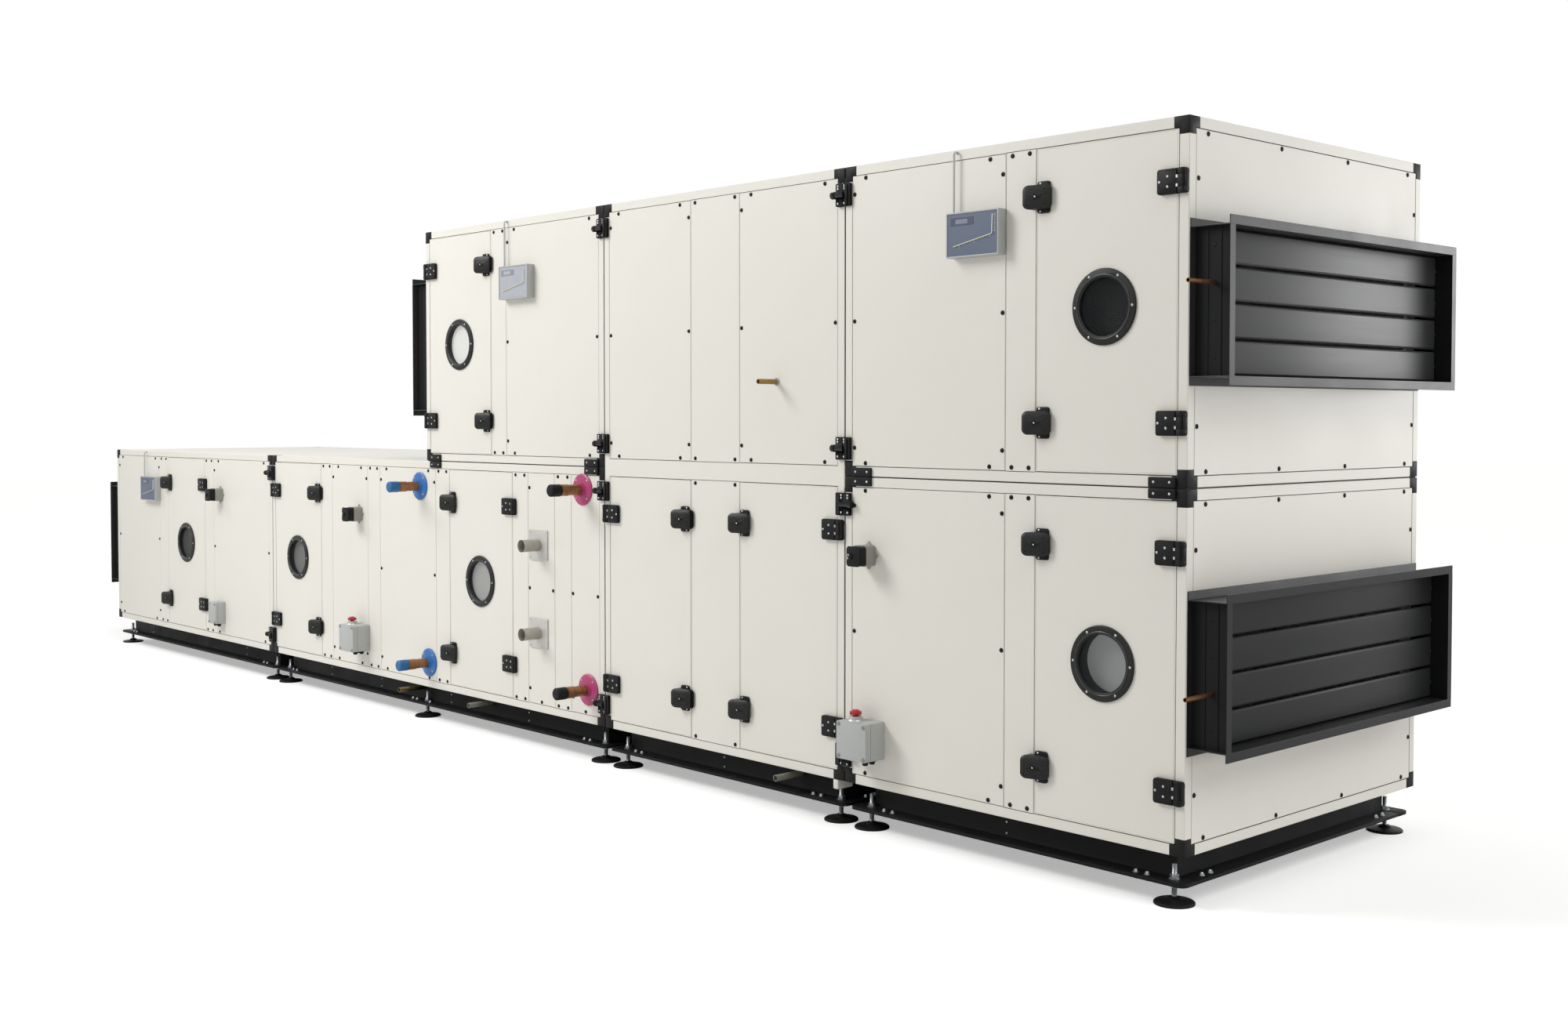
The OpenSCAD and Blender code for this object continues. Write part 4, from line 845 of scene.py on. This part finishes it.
def fit_hardware(handles, locks, screws, hinge_x, into, z):
    """A handle with lock and screws on the free edge, and the screws of the hinge across from it."""
    free_x = hinge_x + into * DOOR_W
    handle_x = free_x - LEFT_HUNG_IN if into > 0 else free_x + HANDLE_IN
    stamp(handles, handle_body, [on_front(handle_x, z, PLATE_T) @ HALF_TURN])
    lock = on_front(handle_x, z, handle_height(0, 0) - 0.5) @ HALF_TURN @ LOCK_TILT
    stamp(locks, lock_barrel, [lock])
    plate_x = free_x - into * PLATE_SCREW_IN
    places = [lock @ Matrix.Scale(0.8, 4)]
    places += [on_front(plate_x, z + dz, PLATE_T) for dz in (-PLATE_SCREW_Z, PLATE_SCREW_Z)]
    places += [on_front(hinge_x + into * u, z + dz, HINGE_T) for u, dz in HINGE_SCREWS]
    stamp(screws, small_screw, places)
    stamp(screws, hinge_mark, [on_front(hinge_x + into, z + dz, HINGE_T) for dz in (-12, 12)])


def fit_window(liners, lips, screws, x, z):
    rim = on_front(x, z, RIM_T)
    stamp(screws, small_screw, circle_of(rim, RIM_SCREW_R, 6))
    stamp(liners, window_liner, [on_front(x, z, -LINER_BACK)])
    stamp(lips, window_lip, [rim])


print("six rim screws stand", RIM_SCREW_R, "mm from the middle of a window")

# %% [markdown]
# In CAD a door's handles, hinge leaves and window rim are one node. Three pieces stand for it here: the new
# handles, and softened copies of the rim and of all the rest below the handles.

# %% Dress every door
RIM_REACH = 125
HANDLE_REACH = (42.5, 36)


def dress_doors(name, doors):
    body = "root" if name == "upper_door" else name
    handles, locks, screws, seal, hems, liners, lips = [bmesh.new() for _ in range(7)]
    handle_places = []
    window_places = []
    for left, deck, side, view in doors:
        into = 1 if side == "left" else -1
        hinge_x = left if side == "left" else left + DOOR_W
        middle = (left + DOOR_W / 2, deck + MID_Z)
        for z in (middle[1] - FITTING_Z, middle[1] + FITTING_Z):
            handle_places.append((hinge_x + into * (DOOR_W - HANDLE_IN), z))
            fit_hardware(handles, locks, screws, hinge_x, into, z)
        if view:
            window_places.append(middle)
            fit_window(liners, lips, screws, *middle)
            pane_shape = bmesh.new()
            stamp(pane_shape, inner_disc, [on_front(*middle, -view[1])])
            make_piece("%s_inner_pane_%d" % (name, left), pane_shape, view[0], body)
        ring_of_bars(seal, *middle, SEAL_IN, (DOOR_W - 20, OPEN_H - 52), SEAL_BAR, SEAL_BACK, 2)
        lengths = (DOOR_W - 2 * (GAP - HEM), OPEN_H - 2 * GAP)
        ring_of_bars(hems, *middle, GAP - HEM / 2, lengths, (HEM + 0.4, 2.5), HEM_BACK, 0.6)

    def on_rim(point):
        return any(math.hypot(point.x - x, point.z - z) < RIM_REACH for x, z in window_places)

    def hinge_or_plate(point):
        wide, high = HANDLE_REACH
        near = any(abs(point.x - x) < wide and abs(point.z - z) < high for x, z in handle_places)
        return not (near and point.y < -PLATE_T - 0.05) and not on_rim(point)

    softened(name + "_hinges", name + "_fittings", nylon, 0.9, hinge_or_plate)
    if window_places:
        softened(name + "_window_rim", name + "_fittings", rim_nylon, 0.9, on_rim)
    # The handles' nylon is a copy painted a little brighter: painted sheen
    make_piece(name + "_handles", handles, grip_nylon_with_painted_sheen, body, 50)
    make_piece(name + "_locks", locks, nylon, body)
    make_piece(name + "_bright_screws", screws, zinc, body)
    make_piece(name + "_seal", seal, rubber, body)
    make_piece(name + "_hem", hems, cream_powder, body)
    if window_places:
        make_piece(name + "_window_liner", liners, nylon, body)
        make_piece(name + "_window_lip", lips, lip_nylon, body, 60)


for name, doors in DOORS.items():
    dress_doors(name, doors)
print("dressed", sum(len(doors) for doors in DOORS.values()), "doors")

# %% [markdown]
# On the frame's half of each hinge a thin bridge closes the outline behind the knuckle, so that both halves
# read as one rounded plate.

# %% Hinge bridges
BRIDGE_OUT = 27.3
bridges = bmesh.new()
for doors in DOORS.values():
    for left, deck, side, view in doors:
        x = left - BRIDGE_OUT if side == "left" else left + DOOR_W + BRIDGE_OUT
        for z in (deck + MID_Z - FITTING_Z, deck + MID_Z + FITTING_Z):
            block(bridges, 6.2, 35, HINGE_T - 0.4, on_front(x, z), edge=0.6)
make_piece("hinge_bridges", bridges, nylon)
print("hinge bridges:", 2 * sum(len(doors) for doors in DOORS.values()))

# %% [markdown]
# ## Pressure gauges
# A gauge is a shallow box with a blue-grey face, a small display, and an inclined liquid tube that bends
# up into a white scale. The face lies in the sunk front of the housing. The tube is a thin cylinder laid
# along a line between two points of the face, and the ticks are small raised bars.

# %% Gauge faces, tubes and scales
PALE_GAUGE = (4219, 1696)
GAUGES = [(6694, 1696), PALE_GAUGE, (440, 727)]
GAUGE_W = 208
GAUGE_H = 138
FACE_OUT_Y = 33
gauge_face = mottled("blue_grey_gauge_face", "#5C667C", "#566075", 80, 3, 0.03, (0.30, 0.40))
# The middle gauge's face is drawn paler: a painted reflection of the lamps in its glossy cover
painted_reflection_face = mottled("gauge_face_with_painted_reflection", "#AEB0B8", "#A6A8B0", 80, 3, 0.03, (0.25, 0.35))
display = mottled("dark_display_recess", "#4C5466", "#454D5E", 60, 3, 0.02, (0.18, 0.28))
display_glass = mottled("grey_display_window", "#8A92A0", "#7D8594", 40, 3, 0.02, (0.14, 0.22))
scale_white = mottled("white_scale_print", "#E4E6E2", "#D8DAD6", 30, 3, 0.02, (0.4, 0.5))
tube_yellow = mottled("pale_yellow_gauge_liquid", "#D2D3B4", "#C6C8A4", 20, 3, 0.02, (0.14, 0.22))


def rod(shape, start, end, radius):
    """A thin cylinder between two points."""
    along = end - start
    place = Matrix.Translation(start) @ along.to_track_quat("Z", "Y").to_matrix().to_4x4()
    disc(shape, radius, along.length, 10, place=place)


def on_gauge(gauge, u, v, out=1.2):
    """A place on a gauge's front, measured from its lower left corner."""
    return on_front(gauge[0] + u, gauge[1] + v, FACE_OUT_Y + out)


faces, painted_reflection_faces, recesses, windows, tubes, scales = [bmesh.new() for _ in range(6)]
for gauge in GAUGES:
    pale = gauge == PALE_GAUGE
    front = on_gauge(gauge, GAUGE_W / 2, GAUGE_H / 2, 0)
    block(painted_reflection_faces if pale else faces, GAUGE_W - 11, GAUGE_H - 11, 1.2, front, edge=0.4, steps=1)
    block(windows if pale else recesses, 92, 24, 0.8, on_gauge(gauge, 64, 109), edge=0.3, steps=1)
    block(painted_reflection_faces if pale else windows, 48, 14, 1.2, on_gauge(gauge, 62, 109), edge=0.4, steps=1)
    low, knee, high = [on_gauge(gauge, u, v, 3.2).translation for u, v in ((31, 34), (183, 64), (185, 122))]
    rod(tubes, low, knee, 1.9)
    rod(scales, knee, high, 2.0)
    for i in range(11):
        u = 52 + i * 12
        block(scales, 1.6, 4 if i % 5 else 8, 0.5, on_gauge(gauge, u, 32 + (u - 31) * 0.2, 1.1))
    for i in range(9):
        block(scales, 7 if i % 4 == 0 else 4, 1.6, 0.5, on_gauge(gauge, 191, 72 + i * 6, 1.1))
make_piece("gauge_faces", faces, gauge_face)
make_piece("gauge_face_with_painted_reflection", painted_reflection_faces, painted_reflection_face)
make_piece("gauge_display_recesses", recesses, display)
make_piece("gauge_display_windows", windows, display_glass)
make_piece("gauge_liquid_tubes", tubes, tube_yellow)
make_piece("gauge_scales", scales, scale_white)
print("gauges:", len(GAUGES))

# %% [markdown]
# ## Isolators and lamp switches
# An isolator box has four lid screws, cable glands screwed in from below and, on two of them, a stop button
# on a bright ring. A gland is a hexagon with a domed nut on it, so it is two short prisms.

# %% Box fittings
# Left, underside, width, height, depth, stop button
ISOLATORS = [(6273, 100, 132, 124, 90, True), (2926, 108, 132, 124, 90, True), (1398, 94, 92, 117, 57, False)]
SWITCHES = [(6304, 726), (2936, 717), (1416, 757)]
SWITCH_OUT = 76
LID_IN = 10
gland = bmesh.new()
disc(gland, 13, 5, 6)
disc(gland, 11, 9, 12, 8.5, at(0, 0, 5))
cable_gland = keep_template(gland, "cable_gland")
DOWN = Matrix.Rotation(math.pi, 4, "X")
lids, glands, rings, knobs, marks, small_box = [bmesh.new() for _ in range(6)]
for left, under, wide, high, deep, stop in ISOLATORS:
    corners = [(u, v) for u in (LID_IN, wide - LID_IN) for v in (LID_IN, high - LID_IN)]
    stamp(lids, dome_screw, [on_front(left + u, under + v, deep) for u, v in corners])
    rows = ((28, -30), (66, -30), (104, -30), (104, -62)) if stop else ((28, -28), (72, -28))
    stamp(glands, cable_gland, [at(left + u, y, under) @ DOWN for u, y in rows])
    if stop:
        disc(rings, 28, 3, 32, 26.5, at(left + 44, -45, under + 124))
    else:
        middle = (left + wide / 2, under + high / 2)
        block(small_box, wide, high, deep - 16, on_front(*middle), edge=3)
        block(small_box, wide - 2, high - 2, 17, on_front(*middle, deep - 17), edge=4, steps=3)
for left, under in SWITCHES:
    disc(knobs, 10, 5, 20, 9, on_front(left + 18, under + 34, SWITCH_OUT))
    disc(marks, 3.2, 0.8, 12, 2.6, on_front(left + 13, under + 39, SWITCH_OUT + 5))
    block(marks, 3, 9, 0.8, on_front(left + 11, under + 29, SWITCH_OUT + 5), edge=0.3, steps=1)
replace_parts(make_piece("small_isolator", small_box, grey_abs), "switch_boxes")
make_piece("isolator_lid_screws", lids, base_abs)
make_piece("cable_glands", glands, nylon)
make_piece("stop_button_rings", rings, zinc)
make_piece("switch_knobs", knobs, nylon)
make_piece("switch_marks", marks, scale_white)
print("boxes:", len(ISOLATORS), "isolators,", len(SWITCHES), "lamp switches")

# %% [markdown]
# ## Pipes, rosettes and drains
# Two pipe caps are blue and two are black, one drain is brass and two are grey plastic, and the small
# tapping high on the tall section is brass with a steel nut. In CAD each group is one node, so copies of its
# parts stand for it here, each in its own finish. The steam stubs' ends are painted black as painted shade
# for their open bores.

# %% Caps and drains in their own finishes
BLUE_CAPS_LEFT_OF = 4000
BRASS_DRAIN_LEFT_OF = 3700
DRAINS_BELOW = 500
PLATE_FRONT = -8
TAPPING = (5889, 1332)
SQUARE_ON = 0.9


def second_finish(obj, finish, chosen):
    """Give the faces whose normal is chosen another finish."""
    obj.data.materials.append(finish)
    for face in obj.data.polygons:
        if chosen(face.normal):
            face.material_index = 1


def plastic_drain(point):
    return point.x > BRASS_DRAIN_LEFT_OF and point.z < DRAINS_BELOW


softened("blue_pipe_caps", "pipe_caps", cap_blue, 0.8, lambda point: point.x < BLUE_CAPS_LEFT_OF)
softened("black_pipe_caps", "pipe_caps", nylon, 0.8, lambda point: point.x > BLUE_CAPS_LEFT_OF)
softened("brass_drain", "drain_pipes", brass, 0.5, lambda point: point.x < BRASS_DRAIN_LEFT_OF)
softened("grey_drains", "drain_pipes", drain_pvc, 0.5, plastic_drain)
softened("brass_tapping", "drain_pipes", tapping_brass, 0.5, lambda point: point.z > DRAINS_BELOW)
tapping_nut = bmesh.new()
disc(tapping_nut, 14, 7, 6, 12.5, on_front(*TAPPING))
make_piece("tapping_nut", tapping_nut, stub_steel)
softened("steam_wall_plates", "steam_plates", galvanised, 0.6, lambda point: point.y > PLATE_FRONT)
stubs = softened("steam_pipe_stubs", "steam_plates", stub_steel, 0.6, lambda point: point.y < PLATE_FRONT)
# Painted shade: the stubs' outward faces, ring ends and bore floors, go black for the dark of the open bores
second_finish(stubs, nylon, lambda normal: normal.y < -SQUARE_ON)

ROSETTES = [(3521, 900), (3592, 112), (4758, 924), (4792, 133)]
STEAM_PLATES = [(4453, 687), (4453, 326)]
pipe_screws = bmesh.new()
for x, z in ROSETTES:
    stamp(pipe_screws, small_screw, circle_of(on_front(x, z, 8.2), 50, 4, 45))
for x, z in STEAM_PLATES:
    stamp(pipe_screws, small_screw, [on_front(x + dx, z + dz, 6) for dx in (-54, 54) for dz in (-52, 52)])
make_piece("rosette_and_plate_screws", pipe_screws, zinc)
print("pipe screws:", 4 * (len(ROSETTES) + len(STEAM_PLATES)))

# %% [markdown]
# ## Dampers
# The blades and flanges are painted sheet with folded, slightly rounded edges. The gears that turn the
# blades run behind a black cover on each side, so those faces get the black of the base and the blades'
# shafts are cut flush with it. One blade of each damper is driven by a copper coloured spindle that rides
# on it.

# %% Softened dampers and their spindles
def faces_side(normal):
    return abs(normal.y) > SQUARE_ON


# The upper damper gets the paler copies, whose paler colour is a painted reflection
for deck, finish, near in (("lower", damper_paint, lambda point: point.z < DECK_JOINT),
                           ("upper", damper_paint_with_painted_reflection, lambda point: point.z > DECK_JOINT)):
    softened("soft_duct_rails_" + deck, "duct_frame_rails", finish, 0.8, near, sharp_deg=20)
    jambs = softened("soft_duct_jambs_" + deck, "duct_frame_jambs", finish, 0.6, near, sharp_deg=20)
    second_finish(jambs, base_powder, faces_side)
SPINDLES = {"blade_lower_2": 456, "blade_upper_3": 1574}
BLADE_AXIS_X = 7602.5
WEB_FACE = 27.6
for deck in ("lower", "upper"):
    for i in range(1, 5):
        node = "blade_%s_%d" % (deck, i)
        # The upper blades' paler finish is a painted reflection
        finish = blade_with_painted_reflection if deck == "upper" else blade_metal
        blade = softened("soft_" + node, node, finish, 0.9, between=(WEB_FACE, CASING_D - WEB_FACE))
        second_finish(blade, base_powder, faces_side)
for node, z in SPINDLES.items():
    sleeve = bmesh.new()
    disc(sleeve, 6.4, 127, 20, place=on_front(BLADE_AXIS_X, z, -29.5))
    tip = min(sleeve.faces, key=lambda f: f.calc_center_median().y)
    inset(sleeve, tip, (1.4, 0), (0.3, -30))
    make_piece(node + "_spindle", sleeve, copper, node)
print("dampers: 8 blades, 2 spindles")

# %% [markdown]
# ## Base and feet
# The base is black angle iron, bolted at the section ends, on threaded levelling studs. A thread is drawn
# as rings: one short zigzag line is spun round the stud's axis. The real pitch is 2 mm, drawn at 4 mm so
# that it shows.

# %% Studs with thread, nuts and washers
FEET = [(x, y) for x in (70, 1988, 2132, 3480, 4828, 4972, 6149, 6293, 7470) for y in (57, 1263)]
STUD_LOW = -130
STUD_TOP = -36
TOE_LOW = -90
TOE_TOP = -80
PITCH = 4


def nut(shape, under, height):
    made = disc(shape, 13, height, 6, place=at(0, 0, under))
    caps = [f for f in {f for v in made for f in v.link_faces} if len(f.verts) == 6]
    round_edges(shape, list({e for f in caps for e in f.edges}), 1.3, 1)


stud = bmesh.new()
rings_count = int((STUD_TOP - STUD_LOW) / (PITCH / 2))
steps = [(8.0 if i % 2 else 6.7, STUD_LOW + i * PITCH / 2) for i in range(rings_count + 1)]
line = [stud.verts.new((radius, 0, z)) for radius, z in steps + [(0, STUD_TOP)]]
edges = [stud.edges.new(pair) for pair in zip(line, line[1:])]
spin_round(stud, line + edges, 14)
nut(stud, TOE_LOW - 13, 11)
nut(stud, TOE_TOP + 2, 11)
disc(stud, 16, 2, 20, place=at(0, 0, TOE_LOW - 2))
disc(stud, 16, 2, 20, place=at(0, 0, TOE_TOP))
foot_stud = keep_template(stud, "foot_stud")
studs = bmesh.new()
stamp(studs, foot_stud, [at(x, y, 0) for x, y in FEET])
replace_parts(make_piece("threaded_studs", studs, zinc), "foot_studs")
print("studs:", len(FEET), "with", rings_count // 2, "threads each")

# %% [markdown]
# Bolts hold the toes of the angles, mostly two by two at the section ends, with their nuts below. Pairs of
# small ones go through the webs. A pale packing block stands under the tall section.

# %% Base bolts
bolt = bmesh.new()
disc(bolt, 10, 1.6, 14)
disc(bolt, 7.5, 5.5, 6, 7.0, at(0, 0, 1.6))
disc(bolt, 4, 2, 8, 3.4, at(0, 0, 7.1))
toe_bolt = keep_template(bolt, "toe_bolt")
SECTION_ENDS = [(0, 2058), (2062, 4898), (4902, 6219), (6223, 7540)]
MIDDLE_BOLTS = (3388, 3424, 3536)
TOE_ROWS = (36, CASING_D - 36)
spots = []
for left, right in SECTION_ENDS:
    spots += [(x, y) for x in (left + 146, left + 184, right - 184, right - 146) for y in TOE_ROWS]
    spots += [(x, y) for x in (left + 36, right - 36) for y in (140, 182, CASING_D - 182, CASING_D - 140)]
spots += [(x, y) for x in MIDDLE_BOLTS for y in TOE_ROWS]
places = []
for x, y in spots:
    places += [at(x, y, TOE_TOP), at(x, y, TOE_LOW) @ DOWN]
toe_bolts = bmesh.new()
stamp(toe_bolts, toe_bolt, places)
make_piece("toe_bolts", toe_bolts, zinc)
WEB_BOLTS = (342, 1591, 2548, 3036, 3658, 4270, 5527, 6854)
WEB_BACK = 72
web_bolts = bmesh.new()
for x in WEB_BOLTS:
    for z in (-34, -69):
        stamp(web_bolts, small_screw, [on_front(x, z, -WEB_BACK), on_rear(x, z, -WEB_BACK)])
make_piece("web_bolts", web_bolts, zinc)
softened("soft_base_sides", "base_side_rails", base_powder, 1.4)
softened("soft_base_ends", "base_end_rails", base_powder, 1.4)

PACKING_X = 6178
packing = bmesh.new()
block(packing, 24, 33, WEB_BACK, on_front(PACKING_X, -16.5, -WEB_BACK), edge=4, steps=3)
make_piece("packing_block", packing, cream_powder)
print("base bolts:", len(places))
